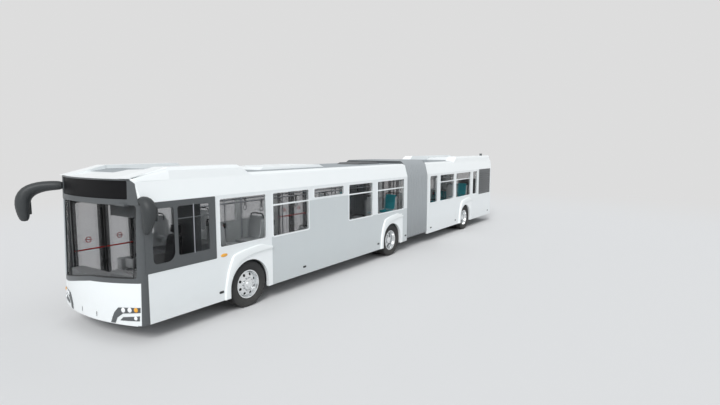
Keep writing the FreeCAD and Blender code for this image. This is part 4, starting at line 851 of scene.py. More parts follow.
def makeCheeks(name, origin, body):
    bm = bmesh.new()
    for side in (1, -1):
        bridgeRings(bm, [[bm.verts.new((origin + ahead, side * across, height))
                          for ahead, across, height in ring] for ring in cheek[name]], True)
    least, most = cheek["roundAngles"]
    softenEdges(bm, [edge for edge in bm.edges if least < edge.calc_face_angle(0) < most
                     and edge.calc_length() > cheek["roundLength"]], cheek["round"], 3)
    # the cheeks take the white with its painted highlight
    makePiece(f"{name}_cheeks", bm, paintedHighlightWhite, body, (), 35)


makeRoof("front")
makeRoof("rear")
makeCapPanel()
makeCheeks("cap", frontAxle, "front_section")
makeCheeks("tail", tailTip, "rear_section")
print("roof made")


# bellows between the saloons

bellows = {
    "pleats": 13, "deep": 0.040, "thick": 0.004, "seam": 0.001,
    "pleat": ((0.0, 1.0), (0.22, 0.15), (0.5, 0.0), (0.78, 0.15)),   # shares along it and of the depth
    # the section's left half as (across, height), from the bottom up
    "section": ((0, 0.36), (1.202, 0.36), (1.262, 0.42), (1.262, 1.4), (1.262, beltTop), (1.178, 2.75),
                (1.09, 2.86), (1.02, 2.90), (0, 2.90)),
    "leastReach": 0.3,     # how near its middle the section can be when it is drawn in
    "frameThick": 0.03, "frameWide": 0.13, "frameGrown": 0.3, "frameIn": 0.004,
}


def bellowsLoop(shrink):
    # the whole section, drawn in all round
    half = bellows["section"]
    middle = (half[0][1] + half[-1][1]) / 2
    loop = []
    for y, z in [*half, *((-y, z) for y, z in half[-2:0:-1])]:
        scale = 1 - shrink / max(abs(y), abs(z - middle), bellows["leastReach"])
        loop.append((y * scale, middle + (z - middle) * scale))
    return loop


def makeBellows():
    lows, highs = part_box("bellows")
    bm = bmesh.new()
    pitch, seam = (highs.x - lows.x) / bellows["pleats"], bellows["seam"]
    stations = [(lows.x + pitch * (number + share) + (0 if share else seam), depth)
                for number in range(bellows["pleats"]) for share, depth in bellows["pleat"]]
    bridgeRings(bm, [[bm.verts.new((x, y, z)) for y, z in bellowsLoop(bellows["deep"] * depth)]
                     for x, depth in stations + [(highs.x - seam, 1.0)]])
    piece = makePiece("bellows_cloth", bm, bellowsRubber, None, ("bellows",), 50)
    solid = piece.modifiers.new("wall", "SOLIDIFY")
    solid.thickness = bellows["thick"]
    solid.offset = -1
    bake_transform(piece)


def makeBellowsFrame(vehicle, start):
    # a flat portal at the saloon's end, which the outermost pleat is clamped to
    loops = [bellowsLoop(bellows["deep"] * bellows["frameGrown"]), bellowsLoop(bellows["frameWide"])]
    bm = bentSheet(loops, lambda u, v, height: Vector((start + height, u, v)), bellows["frameThick"], 0.0)
    makePiece(f"bellows_frame_{vehicle}", bm, darkTrim, f"{vehicle}_section")


makeBellows()
makeBellowsFrame("front", frontEnd - bellows["frameIn"])
makeBellowsFrame("rear", rearStart - bellows["frameThick"] + bellows["frameIn"])
print("bellows made")


# doors, with depths inward from the side's outer face

door = {
    "stile": 0.095, "thick": 0.038, "inner": 0.039, "floorGap": 0.012, "headGap": 0.0097,
    "round": 0.02, "glassRound": 0.045, "glassThick": 0.006, "glassInner": 0.020,
    "railHigh": 1.28, "railRadius": 0.015, "railInner": 0.055, "railInset": 0.03,
    "railPost": 0.011, "postFrom": 0.03,
    "padRadius": 0.05, "padHigh": 0.98, "padFrom": 0.035, "padTo": 0.065,
    "signHigh": 1.47, "signOuter": 0.062, "signInner": 0.045, "signFrom": 0.026, "signTo": 0.030,
    "signBar": (0.05, 0.009),
    "columnRadius": 0.018, "columnFoot": 0.0005,
    "armInset": 0.04, "armHalf": 0.012, "armHigh": 0.02, "lugRear": 0.03, "lugFront": 0.01,
    "armRound": 0.003,
}


def makeDoorLeaf(name):
    form = door
    lows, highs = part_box(name)
    column = jointPlace("child", name)
    leafLow, leafHigh = floorTop + form["floorGap"], highs.z - form["headGap"]
    wide, middle = form["stile"], (lows.x + highs.x) / 2
    outer = roundedLoop((lows.x, leafLow), (highs.x, leafHigh), form["round"], 3)
    light = roundedLoop((lows.x + wide, leafLow + wide), (highs.x - wide, leafHigh - wide),
                        form["glassRound"])
    bm = sideSheet(-1, [outer, light], form["thick"], -form["inner"])
    joinInto(bm, sideSheet(-1, [light], form["glassThick"], -form["glassInner"], 1))

    def inside(x, depth, z):
        return Vector((x, depth - sideFace, z))

    ends = (lows.x + form["railInset"], highs.x - form["railInset"])
    rail, pad = form["railHigh"], form["padHigh"]
    addTube(bm, *(inside(x, form["railInner"], rail) for x in ends), form["railRadius"], 12, 2)
    for x in ends:
        addTube(bm, inside(x, form["postFrom"], rail), inside(x, form["railInner"], rail),
                form["railPost"], 10, 2)
        addTube(bm, inside(x, form["padFrom"], pad), inside(x, form["padTo"], pad), form["padRadius"], 18)
    near, far, sign = form["signFrom"], form["signTo"], form["signHigh"]
    addLathe(bm, squareLoop((near, form["signInner"]), (far, form["signOuter"])),
             inside(middle, 0, sign), 1, 28, 2)
    reach, half = form["signBar"]
    addBox(bm, inside(middle - reach, near, sign - half), inside(middle + reach, far, sign + half),
           materialIndex=2)
    addTube(bm, (column.x, column.y, floorTop + form["columnFoot"]), (column.x, column.y, highs.z),
            form["columnRadius"], 18)
    half, tall = form["armHalf"], form["armHigh"]
    for height in (leafLow + form["armInset"], leafHigh - form["armInset"]):
        addBox(bm, (min(column.x, middle), column.y - half, height - tall),
               (max(column.x, middle), column.y + half, height + tall), form["armRound"])
        addBox(bm, inside(middle - form["lugRear"], form["inner"], height - tall),
               (middle + form["lugFront"], column.y, height + tall), form["armRound"])
    makePiece(f"leaf_{name}", bm, [blackPlastic, doorGlass, railRed], name, (name,))


for doorName in ("front_door", "middle_door", "rear_door"):
    for leafName in ("front_leaf", "rear_leaf"):
        makeDoorLeaf(f"{doorName}_{leafName}")
print("doors made")


# passenger seats

seatForm = {
    "wide": 0.43, "deep": 0.42, "edge": 0.03, "cushion": 0.055, "high": 0.44, "highOnBox": 0.26,
    "hollow": 0.022, "rim": 0.006,
    "back": 0.46, "backAt": 0.035, "backFoot": 0.02, "backThick": 0.03, "backLean": 0.06,
    "backHug": 0.016, "backBow": 0.01, "backTaper": 0.10,
    # the light side shells as (ahead of the seat's middle, height)
    "shell": ((0.02, -0.16), (0.05, -0.02), (-0.14, 0.05), (-0.19, 0.40), (-0.27, 0.43),
              (-0.255, -0.06), (-0.16, -0.16)),
    "shellAt": (0.004, 0.022), "shellThick": 0.018, "shellFrom": -0.19,
    "railRadius": 0.014, "railHigh": 0.39, "railRise": 0.145, "railBehind": 0.062, "railInset": 0.025,
    "railSteps": 12, "railFlat": 0.35, "railBow": 0.5,     # powers that square the arch off
    "bracketLow": (-0.19, -0.05, -0.20), "bracketHigh": (0.09, 0.05, -0.05), "bracketRound": 0.012,
    "legRadius": 0.03, "legUnder": 0.15, "plateRadius": 0.09, "plateThick": 0.012, "footGap": 0.0003,
    "tealBehind": 4.7, "boxOver": 0.3,
}


def seatMesh():
    # one seat at the origin, its cushion's top at height 0, facing +X
    form, bm = seatForm, bmesh.new()
    half, deep, inner = form["wide"] / 2, form["deep"] / 2, form["wide"] - form["edge"]
    pad = bmesh.ops.create_grid(bm, x_segments=8, y_segments=8, size=0.5,
                                matrix=Matrix.Diagonal((form["deep"] - form["edge"], inner, 1, 1)))
    for vert in pad["verts"]:
        u, v = vert.co.x / deep, vert.co.y / half
        vert.co.z = form["rim"] * abs(v) ** 3 - form["hollow"] * (1 - v * v) * (1 - abs(u))
    for vert in extruded(bm, list(facesOf(pad["verts"]))):
        vert.co.z = -form["cushion"]
    middle = Matrix.Translation((form["backAt"] - deep, 0, form["backFoot"] + form["back"] / 2))
    back = bmesh.ops.create_grid(bm, x_segments=8, y_segments=10, size=0.5,
                                 matrix=middle @ Matrix.Rotation(math.radians(-90), 4, "Y")
                                 @ Matrix.Diagonal((form["back"], inner, 1, 1)))
    for vert in back["verts"]:
        rise, v = (vert.co.z - form["backFoot"]) / form["back"], vert.co.y / half
        vert.co.x += (form["backHug"] * v * v - form["backLean"] * rise
                      - form["backBow"] * math.sin(math.pi * rise))
        vert.co.y *= 1 - form["backTaper"] * rise ** 2
    for vert in extruded(bm, list(facesOf(back["verts"]))):
        vert.co.x -= form["backThick"]
    bmesh.ops.recalc_face_normals(bm, faces=bm.faces)
    for face in bm.faces:
        isShell = face.calc_center_median().x < form["shellFrom"] and face.normal.x < -0.3
        face.material_index = 1 if isShell else 0
    for across in (form["shellAt"][0] - half, half - form["shellAt"][1]):
        joinInto(bm, bentSheet([form["shell"]], lambda u, v, height: Vector((u, across + height, v)),
                               form["shellThick"], 0.0, materialIndex=1))
    addBox(bm, form["bracketLow"], form["bracketHigh"], form["bracketRound"], materialIndex=1)
    arch = []
    for number in range(form["railSteps"] + 1):
        angle = math.pi * number / form["railSteps"]
        across = math.copysign(abs(math.cos(angle)) ** form["railFlat"], math.cos(angle))
        arch.append(Vector((-deep - form["railBehind"], (form["railInset"] - half) * across,
                            form["railHigh"] + form["railRise"] * abs(math.sin(angle)) ** form["railBow"])))
    addPath(bm, arch, form["railRadius"], 8, 2)
    return meshFrom(bm, "seatUnit")


def makeSeats(vehicle):
    # grey seats ahead, teal ones from the front saloon's rear part on
    form, bm = seatForm, bmesh.new()
    grey = seatMesh()
    teal = grey.copy()
    for polygon in teal.polygons:
        polygon.material_index = polygon.material_index or 3
    for lows, highs, topX in islands(f"{vehicle}_seats"):
        middle = (lows + highs) / 2
        onBox = lows.z > floorTop + form["boxOver"]
        cushionTop = lows.z + form["highOnBox" if onBox else "high"]
        turn = Matrix.Rotation(0 if topX < middle.x else math.pi, 4, "Z")
        unit = (teal if middle.x < behind(form["tealBehind"]) else grey).copy()
        unit.transform(Matrix.Translation((middle.x, middle.y, cushionTop)) @ turn)
        bm.from_mesh(unit)
        bpy.data.meshes.remove(unit)
        foot = Vector((middle.x, middle.y, lows.z + form["footGap"]))
        addTube(bm, foot, (middle.x, middle.y, cushionTop - form["legUnder"]), form["legRadius"], 14, 2)
        addTube(bm, foot, foot + Vector((0, 0, form["plateThick"])), form["plateRadius"], 20, 2)
    makePiece(f"seating_{vehicle}", bm, [seatGrey, shellGrey, blackPlastic, seatTeal],
              f"{vehicle}_section", (f"{vehicle}_seats",), 40)
    bpy.data.meshes.remove(grey)
    bpy.data.meshes.remove(teal)


makeSeats("front")
makeSeats("rear")
print("seats made")


# collars, straps and stop buttons on the handrails, and lamps under the roof

handrail = {
    "radius": 0.017, "collar": 0.026, "collarHigh": 0.05, "footGap": 0.0005,
    "boxHigh": (1.42, 1.55), "box": (0.03, 0.035), "boxRound": 0.012,
    "button": (0.028, 0.04), "buttonRadius": 0.016,
    "high": 2.08, "strapEvery": 1.24, "strapFrom": 0.4, "strapSpare": 0.6, "strapLong": 0.17,
    "strap": (0.012, 0.02), "strapOver": 0.02, "strapRound": 0.004,
    "gripRadius": 0.055, "gripThick": 0.008,
}
ceilingLamp = {"across": 0.62, "half": 0.055, "deep": 0.03, "round": 0.012, "rearGap": 0.1}
poleHalf = (high("front_handrails").y - low("front_handrails").y) / 2 - handrail["radius"]


def polePlaces(vehicle):
    # where the handrails' poles stand, read from their feet, from the rear to the front
    found = []
    for vert in nodes[f"{vehicle}_handrails"].data.vertices:
        if vert.co.z < floorTop + 0.01 and all((vert.co.xy - place).length > 0.1 for place in found):
            found.append(vert.co.xy.copy())
    return sorted(((round(place.x, 2), math.copysign(poleHalf, place.y)) for place in found),
                  key=lambda place: place[0])


def makeRailFittings(vehicle):
    form, bm = handrail, bmesh.new()
    lows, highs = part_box(f"{vehicle}_handrails")
    for number, (x, y) in enumerate(polePlaces(vehicle)):
        for foot in (floorTop + form["footGap"], highs.z - form["collarHigh"]):
            addTube(bm, (x, y, foot), (x, y, foot + form["collarHigh"]), form["collar"])
        if number % 2 == 0:
            (deep, half), (foot, top) = form["box"], form["boxHigh"]
            addBox(bm, (x - deep, y - half, foot), (x + deep, y + half, top), form["boxRound"])
            addTube(bm, *((x + ahead, y, (foot + top) / 2) for ahead in form["button"]),
                    form["buttonRadius"], materialIndex=1)
    thick, radius = form["gripThick"], form["gripRadius"]
    grip = [(thick * math.cos(math.tau * step / 8), radius + thick * math.sin(math.tau * step / 8))
            for step in range(8)]
    deep, half = form["strap"]
    top, foot = form["high"], form["high"] - form["strapLong"]
    for number in range(int((highs.x - lows.x - form["strapSpare"]) / form["strapEvery"])):
        x = lows.x + form["strapFrom"] + number * form["strapEvery"]
        for y in (poleHalf, -poleHalf):
            addBox(bm, (x - deep, y - half, foot), (x + deep, y + half, top + form["strapOver"]),
                   form["strapRound"])
            addLathe(bm, grip, (x, y, foot - radius), 1, 20)
    makePiece(f"rail_fittings_{vehicle}", bm, [blackPlastic, railRed], f"{vehicle}_section")


def makeCeilingLamps(vehicle):
    # a strip of lamps along each side under the roof
    form, bm = ceilingLamp, bmesh.new()
    lows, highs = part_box(f"{vehicle}_handrails")
    for middle in (form["across"], -form["across"]):
        addBox(bm, (lows.x + form["rearGap"], middle - form["half"], highs.z - sunk - form["deep"]),
               (highs.x, middle + form["half"], highs.z - sunk), form["round"])
    makePiece(f"ceiling_lamps_{vehicle}", bm, lampDiffuser, f"{vehicle}_section")


for vehicle in ("front", "rear"):
    makeRailFittings(vehicle)
    makeCeilingLamps(vehicle)
print("handrails dressed")


# panels, slots and lamps on the sides, with places behind the front axle

# the sheets of painted shade on the lower side walls, and where they reach
paintedShadeSheet = {
    "from": 0.66, "thick": 0.003, "highTo": 2.06, "edge": 0.02, "doorGap": 0.06, "endGap": 0.004,
    # how far it reaches under the flare, and the flare's line there: its top, slope and foot
    "underFlare": 0.02, "lineTop": 0.1, "lineSlope": (0.10, 1.0), "lineFoot": 0.7,
}

driverPanel = {
    "rear": -0.85, "front": -2.335, "low": 1.19, "high": 2.392, "proud": 0.005, "round": 0.02,
    "quarterRear": -1.76, "quarterLow": 1.33, "quarterHigh": 2.28, "quarterGap": 0.01,
    "quarterRound": (0.05, 0.05, 0.16, 0.08),
    "sliderRear": -0.99, "sliderFront": -1.70, "sliderLow": 1.39, "sliderHigh": 2.30,
    "sliderRound": 0.05, "frameRound": 0.04, "frameThick": 0.006, "frameInner": 0.003,
    "bar": 0.016, "barInner": 0.006, "barProud": 0.007, "barRound": 0.003, "ventProud": 0.005,
    "ventLine": 2.06,
}

marker = {
    "slotWide": 0.105, "slotHigh": 0.044, "slotAt": 0.50, "slotProud": 0.007, "slotRound": 0.008,
    "slots": {"front": (-0.76, 1.74, 5.10, 6.77), "rear": (8.66, 10.88, 12.53, 14.59)},
    "amber": (-0.67, 1.22), "amberSizes": (0.085, 0.016, 0.034),
}

grille = {
    "from": 13.40, "to": 14.80, "low": 1.32, "high": 2.395, "thick": 0.006, "inset": 0.08,
    "round": 0.02, "slats": 9, "slatFrom": 0.12, "slatEvery": 0.095, "slatHigh": 0.035,
    "slatDeep": (0.004, 0.016), "slatRound": 0.008,
}


def makePaintedShadePanels():
    # grey sheets of painted shade between the flares, on the left rising round the short high window; the wall
    # under them is the same white paint
    left = [item for item in islands("front_side_glass") if item[0].y > 0]
    sill = min(item[0].z for item in left[1:])
    start, stop = behind(paintedShadeSheet["from"]), frontEnd + paintedShadeSheet["endGap"]
    wheel = axles["middle"].x
    ahead = wheel + flare["front"] - paintedShadeSheet["underFlare"]
    after = wheel - flare["rear"] + paintedShadeSheet["underFlare"]
    over = flare["top"] - paintedShadeSheet["underFlare"]
    back, height = paintedShadeSheet["lineSlope"]
    roundWheel = [(stop, sill), (stop, skirtLow), (after, skirtLow), (after, over),
                  (wheel + paintedShadeSheet["lineTop"], over), (ahead - back, height),
                  (ahead, paintedShadeSheet["lineFoot"]), (ahead, skirtLow)]
    rise, fall = left[2][0].x - paintedShadeSheet["edge"], left[4][1].x + paintedShadeSheet["edge"]
    top = paintedShadeSheet["highTo"]
    doorRear = low("middle_door_rear_leaf").x - paintedShadeSheet["doorGap"]
    doorFront = high("middle_door_front_leaf").x + paintedShadeSheet["doorGap"]
    for name, side, loops in (
            ("left", 1, [[(start, skirtLow), (start, sill), (rise, sill), (rise, top), (fall, top),
                          (fall, sill), *roundWheel]]),
            ("right", -1, [[(doorRear, skirtLow), (doorRear, sill), *roundWheel],
                           squareLoop((doorFront, skirtLow), (start, sill))])):
        bm = bmesh.new()
        for loop in loops:
            joinInto(bm, sideSheet(side, [loop], paintedShadeSheet["thick"]))
        makePiece(f"painted_shade_panel_{name}", bm, paintedShadeGrey, "front_section")


def makeDriverPanel():
    form = driverPanel
    outer = roundedLoop((behind(form["rear"]), form["low"]), (behind(form["front"]), form["high"]),
                        form["round"], 3)
    quarterFront = islands("front_side_glass")[0][1].x - form["quarterGap"]
    quarter = roundedLoop((behind(form["quarterRear"]), form["quarterLow"]),
                          (quarterFront, form["quarterHigh"]), form["quarterRound"], 6)
    lows = rear, foot = behind(form["sliderRear"]), form["sliderLow"]
    highs = front, head = behind(form["sliderFront"]), form["sliderHigh"]
    panel = sideSheet(1, [outer, quarter, roundedLoop(lows, highs, form["sliderRound"], 6)], form["proud"])
    frames = bmesh.new()
    bar, middle, inner = form["bar"], (rear + front) / 2, sideFace - form["barInner"]
    addBox(frames, (middle - bar / 2, inner, foot),
           (middle + bar / 2, sideFace + form["barProud"], head), form["barRound"], materialIndex=1)
    addBox(frames, (rear, inner, form["ventLine"] - bar / 2),
           (front, sideFace + form["ventProud"], form["ventLine"] + bar / 2), form["barRound"])
    loops = [roundedLoop(lows, highs, form["sliderRound"]),
             roundedLoop((rear + bar, foot + bar), (front - bar, head - bar), form["frameRound"])]
    joinInto(frames, sideSheet(1, loops, form["frameThick"], -form["frameInner"]))
    makePiece("driver_panel", panel, darkTrim, "front_section")
    makePiece("driver_slider_frame", frames, [darkTrim, railGrey], "front_section")


def makeSlots(vehicle):
    bm = bmesh.new()
    wide, tall = marker["slotWide"] / 2, marker["slotHigh"] / 2
    for side in (1, -1):
        for place in marker["slots"][vehicle]:
            x, z = behind(place), marker["slotAt"]
            loop = roundedLoop((x - wide, z - tall), (x + wide, z + tall), marker["slotRound"], 3)
            joinInto(bm, sideSheet(side, [loop], marker["slotProud"]))
    makePiece(f"side_slots_{vehicle}", bm, blackPlastic, f"{vehicle}_section")


def makeIndicators():
    bm = bmesh.new()
    place, height = marker["amber"]
    for side in (1, -1):
        addDome(bm, marker["amberSizes"], Matrix.Translation((behind(place), side * sideFace, height)), 24)
    makePiece("side_indicators", bm, lampAmber, "front_section")


def makeSideGrille():
    form = grille
    rear, front = behind(form["to"]), behind(form["from"])
    bm = sideSheet(1, [roundedLoop((rear, form["low"]), (front, form["high"]), form["round"], 3)],
                   form["thick"])
    near, far = form["slatDeep"]
    for number in range(form["slats"]):
        z = form["low"] + form["slatFrom"] + number * form["slatEvery"]
        addBox(bm, (rear + form["inset"], sideFace + near, z),
               (front - form["inset"], sideFace + far, z + form["slatHigh"]), form["slatRound"])
    makePiece("engine_side_grille", bm, darkTrim, "rear_section")


makePaintedShadePanels()
makeDriverPanel()
makeSlots("front")
makeIndicators()
makeSlots("rear")
makeSideGrille()
print("side details made")


# the front end, its outlines as (across, height)

screen = {
    "half": 1.18, "head": 2.36, "corner": 0.06,
    "seal": 0.012, "cover": 0.005, "sealThick": 0.008, "sealInner": 0.004,
    "foot": ((1.12, 1.142), (0.08, 1.085), (-0.31, 1.015), (-0.94, 0.905), (-1.12, 0.885)),
    "bandLow": (-1.19, 0.89), "bandHigh": (-1.06, 2.345), "bandThick": 0.005,
}

display = {
    "low": 2.362, "high": 2.79, "right": 1.12, "left": 1.232, "leftTop": 1.18, "chamfer": 0.07,
    "slope": 1.6, "thick": 0.022, "inner": 0.004,
    "glassLow": (-1.03, 2.455), "glassHigh": (1.045, 2.765), "glassRound": 0.02, "glassThick": 0.006,
}

lampForm = {
    "housing": ((0.63, 0.335), (0.73, 0.335), (0.77, 0.43), (0.90, 0.52), (1.225, 0.558), (1.225, 0.645),
                (0.80, 0.612), (0.71, 0.52)),
    "fog": ((0.84, 0.395), (0.90, 0.455), (1.215, 0.50), (1.215, 0.415)),
    "thick": 0.014, "inner": 0.006, "cuts": 18,
    # across, height, radius and finish
    "lenses": ((0.905, 0.577, 0.043, 1), (1.035, 0.590, 0.043, 1), (1.155, 0.601, 0.040, 2),
               (1.15, 0.458, 0.034, 1)),
    "lensProud": 0.008, "lensDeep": 0.35,
}

noseCorner = {
    # white panels carried round the corners: from and to across, then the top edge at both
    "left": (1.09, 1.236, 1.046, 1.054), "right": (1.09, 1.236, 0.792, 0.785), "proud": 0.005,
    "footGap": 0.012,
}

towCover = {
    "half": (0.055, 0.075), "round": 0.02, "slotHalf": (0.014, 0.045), "slotRound": 0.01, "thick": 0.004,
}


def screenLoop(grow):
    # the windscreen's outline, grown all round
    half, head = screen["half"] + grow, screen["head"] + grow
    corners = roundedLoop((-half, 0), (half, head), screen["corner"] + grow, 4)[:10]
    foot = [(across * half / screen["half"], height - grow) for across, height in screen["foot"]]
    return corners + foot[::-1]


def makeScreenSeal():
    bm = noseSheet([screenLoop(screen["seal"]), screenLoop(-screen["cover"])], screen["sealThick"],
                   -screen["sealInner"])
    makePiece("windscreen_seal", bm, blackPlastic, "front_section")


def makeDisplay():
    form = display
    right, top, topLeft, chamfer = -form["right"], form["high"], form["leftTop"], form["chamfer"]
    outer = [(right, form["low"]), (form["left"], form["low"]), (topLeft, top - chamfer),
             (topLeft - chamfer * form["slope"], top), (right, top)]
    glass = roundedLoop(form["glassLow"], form["glassHigh"], form["glassRound"], 3)
    makePiece("display_surround", noseSheet([outer, glass], form["thick"], -form["inner"]), darkTrim,
              "front_section")
    makePiece("display_glass", noseSheet([glass], form["glassThick"], -form["glassThick"]), displayBlack,
              "front_section")


def makeScreenBand():
    # painted band on the windscreen's right edge
    bm = noseSheet([squareLoop(screen["bandLow"], screen["bandHigh"])], screen["bandThick"])
    makePiece("screen_band", bm, roofGrey, "front_section")


def addLens(bm, across, height, radius, materialIndex):
    # a domed round lens that looks along the nose's normal
    run = runAt(across, height)
    place = onNose(run, height, lampForm["lensProud"])
    outwards = onNose(run, height, 0.05) - place
    turn = outwards.to_track_quat("Z", "Y").to_matrix().to_4x4()
    addDome(bm, (radius, radius, radius * lampForm["lensDeep"]), Matrix.Translation(place) @ turn,
            materialIndex=materialIndex)


def makeHeadlamps():
    form, bm = lampForm, bmesh.new()
    for side in (1, -1):
        for outline in (form["housing"], form["fog"]):
            loop = [(side * across, height) for across, height in outline]
            joinInto(bm, noseSheet([loop], form["thick"], -form["inner"], form["cuts"]))
        for across, height, radius, index in form["lenses"]:
            addLens(bm, side * across, height, radius, index)
    makePiece("lamp_clusters", bm, [darkTrim, lampWhite, lampAmber], "front_section",
              ("headlamps",))


def makeNoseCorners():
    bm = bmesh.new()
    foot = skirtLow + noseCorner["footGap"]
    for side, word in ((1, "left"), (-1, "right")):
        near, far, nearTop, farTop = noseCorner[word]
        loop = [(side * near, foot), (side * far, foot), (side * far, farTop), (side * near, nearTop)]
        joinInto(bm, noseSheet([loop], noseCorner["proud"], cuts=8))
    makePiece("nose_corners", bm, whitePaint, "front_section")


def makeTowCovers():
    bm = bmesh.new()
    for mount in frame["record"]["mounts"]:
        if mount["name"].startswith("tow_bore"):
            _, y, z = mount["pos_m"]
            (wide, tall), (slotWide, slotTall) = towCover["half"], towCover["slotHalf"]
            ring = [roundedLoop((y - wide, z - tall), (y + wide, z + tall), towCover["round"]),
                    roundedLoop((y - slotWide, z - slotTall), (y + slotWide, z + slotTall),
                                towCover["slotRound"])]
            joinInto(bm, noseSheet(ring, towCover["thick"], cuts=5))
    makePiece("tow_surrounds", bm, whitePaint, "front_section")


makeScreenSeal()
makeDisplay()
makeScreenBand()
makeHeadlamps()
makeNoseCorners()
makeTowCovers()
print("front end made")


# mirrors

mirror = {
    # place ahead of the front axle, across, height; direction; half across; half deep
    "right": (
        ((2.42, -1.10, 2.60), (1, -0.6, 0.0), 0.080, 0.088),
        ((2.53, -1.22, 2.60), (1, -0.9, 0.0), 0.090, 0.104),
        ((2.66, -1.34, 2.590), (1, -0.9, -0.15), 0.098, 0.116),
        ((2.79, -1.45, 2.550), (1, -0.7, -0.4), 0.110, 0.126),
        ((2.895, -1.52, 2.475), (0.8, -0.4, -0.8), 0.128, 0.134),
        ((2.95, -1.55, 2.37), (0.35, -0.15, -1), 0.142, 0.134),
        ((2.965, -1.555, 2.25), (0.05, 0.0, -1), 0.146, 0.124),
        ((2.96, -1.555, 2.13), (-0.05, 0.0, -1), 0.140, 0.108),
        ((2.95, -1.555, 2.01), (-0.05, 0.0, -1), 0.120, 0.086),
        ((2.945, -1.555, 1.935), (-0.05, 0.0, -1), 0.082, 0.052),
    ),
    "left": (
        ((2.33, 1.16, 2.42), (0.1, 1, 0.1), 0.060, 0.055),
        ((2.325, 1.265, 2.44), (0, 1, 0.05), 0.076, 0.085),
        ((2.32, 1.36, 2.42), (0, 1, -0.6), 0.105, 0.110),
        ((2.32, 1.415, 2.34), (0, 0.3, -1), 0.130, 0.122),
        ((2.32, 1.42, 2.22), (0, 0, -1), 0.130, 0.114),
        ((2.32, 1.40, 2.09), (0, -0.1, -1), 0.108, 0.096),
        ((2.33, 1.37, 1.97), (0, -0.2, -1), 0.080, 0.072),
        ((2.34, 1.345, 1.87), (0, -0.2, -1), 0.045, 0.044),
    ),
    # the glasses' middles ahead of the front axle, across and height, and their half sizes
    "glasses": (((2.866, -1.555, 2.19), (0.02, 0.095, 0.125)), ((2.226, 1.415, 2.22), (0.02, 0.085, 0.12))),
    "glassRound": 0.018,
}


def addSweep(bm, stations, segments=20):
    # rings of (centre, direction, half width across, half depth) joined into a closed form
    rings = []
    for (ahead, *place), direction, across, deep in stations:
        direction = Vector(direction).normalized()
        sideways = direction.cross(Vector((1, 0, 0)))
        if sideways.length < 0.2:
            sideways = Vector((0, 1, 0))
        sideways.normalize()
        other = direction.cross(sideways).normalized()
        angles = [math.tau * step / segments for step in range(segments)]
        rings.append([bm.verts.new(Vector((frontAxle + ahead, *place)) + sideways * across * math.cos(angle)
                                   + other * deep * math.sin(angle)) for angle in angles])
    bridgeRings(bm, rings, True)


def makeMirrors():
    bm = bmesh.new()
    for name in ("right", "left"):
        addSweep(bm, mirror[name])
    piece = makePiece("mirror_housings", bm, mirrorShell, "front_section", ("mirrors",), 60)
    subdivision = piece.modifiers.new("round", "SUBSURF")
    subdivision.levels = subdivision.render_levels = 1
    glass = bmesh.new()
    for place, half in mirror["glasses"]:
        middle = Vector(place) + Vector((frontAxle, 0, 0))
        addBox(glass, middle - Vector(half), middle + Vector(half), mirror["glassRound"], 3)
    for face in glass.faces:
        face.material_index = 0 if face.normal.x < -0.98 else 1
    makePiece("mirror_glasses", glass, [mirrorGlass, mirrorShell], "front_section")


makeMirrors()
print("mirrors made")


# cab fittings, as boxes from corner to corner ahead of the front axle

cab = {
    # the instrument hood between wheel and windscreen: its middle, outline, height and arch
    "hoodAt": (2.22, 0.65), "hood": ((-0.02, -0.40), (0.02, -0.46), (0.16, -0.40), (0.16, 0.40),
                                     (0.02, 0.46), (-0.02, 0.40)),
    "hoodLow": 1.04, "hoodTop": 1.17, "hoodArch": 0.25, "hoodRound": 0.02,
    "ticketStand": ((1.98, 0.17, 1.05), (2.20, 0.30, 1.32)),
    "smallScreen": ((2.10, 0.34, 1.16), (2.14, 0.56, 1.32)),
    "screenPost": ((2.13, 0.45, 1.04), (2.13, 0.45, 1.18)), "postRadius": 0.012,
    # the visor's own places lie ahead of the nose's tip
    "visor": ((-0.33, 0.31, 2.13), (-0.325, 1.10, 2.34)),
    "visorRail": ((-0.36, -0.90, 2.345), (-0.14, 1.05, 2.385)),
    "partition": ((1.122, 0.40, 1.10), (1.138, 1.19, 2.40)),
}


def cabPlaces(name, origin=frontAxle):
    return [Vector(place) + Vector((origin, 0, 0)) for place in cab[name]]


def makeCabFittings():
    x, y = frontAxle + cab["hoodAt"][0], cab["hoodAt"][1]
    bm = flatOutline([[(x + u, y + v) for u, v in cab["hood"]]])
    raised = extruded(bm, bm.faces[:])
    for vert in bm.verts:
        vert.co.z = cab["hoodLow"]
        if vert in raised:
            vert.co.z = cab["hoodTop"] - cab["hoodArch"] * (vert.co.y - y) ** 2
    bmesh.ops.recalc_face_normals(bm, faces=bm.faces)
    softenEdges(bm, [edge for edge in bm.edges if edge.calc_face_angle(0) > 0.5], cab["hoodRound"], 3)
    addBox(bm, *cabPlaces("ticketStand"), 0.02)
    addBox(bm, *cabPlaces("smallScreen"), 0.01)
    addTube(bm, *cabPlaces("screenPost"), cab["postRadius"])
    makePiece("cab_fittings", bm, dashPlastic, "front_section")
    bm = bmesh.new()
    addBox(bm, *cabPlaces("visor", noseTip), 0.002)
    addBox(bm, *cabPlaces("visorRail", noseTip), 0.01)
    makePiece("sun_visor", bm, darkTrim, "front_section")
    bm = bmesh.new()
    addBox(bm, *cabPlaces("partition"), 0.006)
    makePiece("cab_screen", bm, darkTrim, "front_section")


makeCabFittings()


# the driver's seat: cushion, back and headrest as padded pieces on their own base

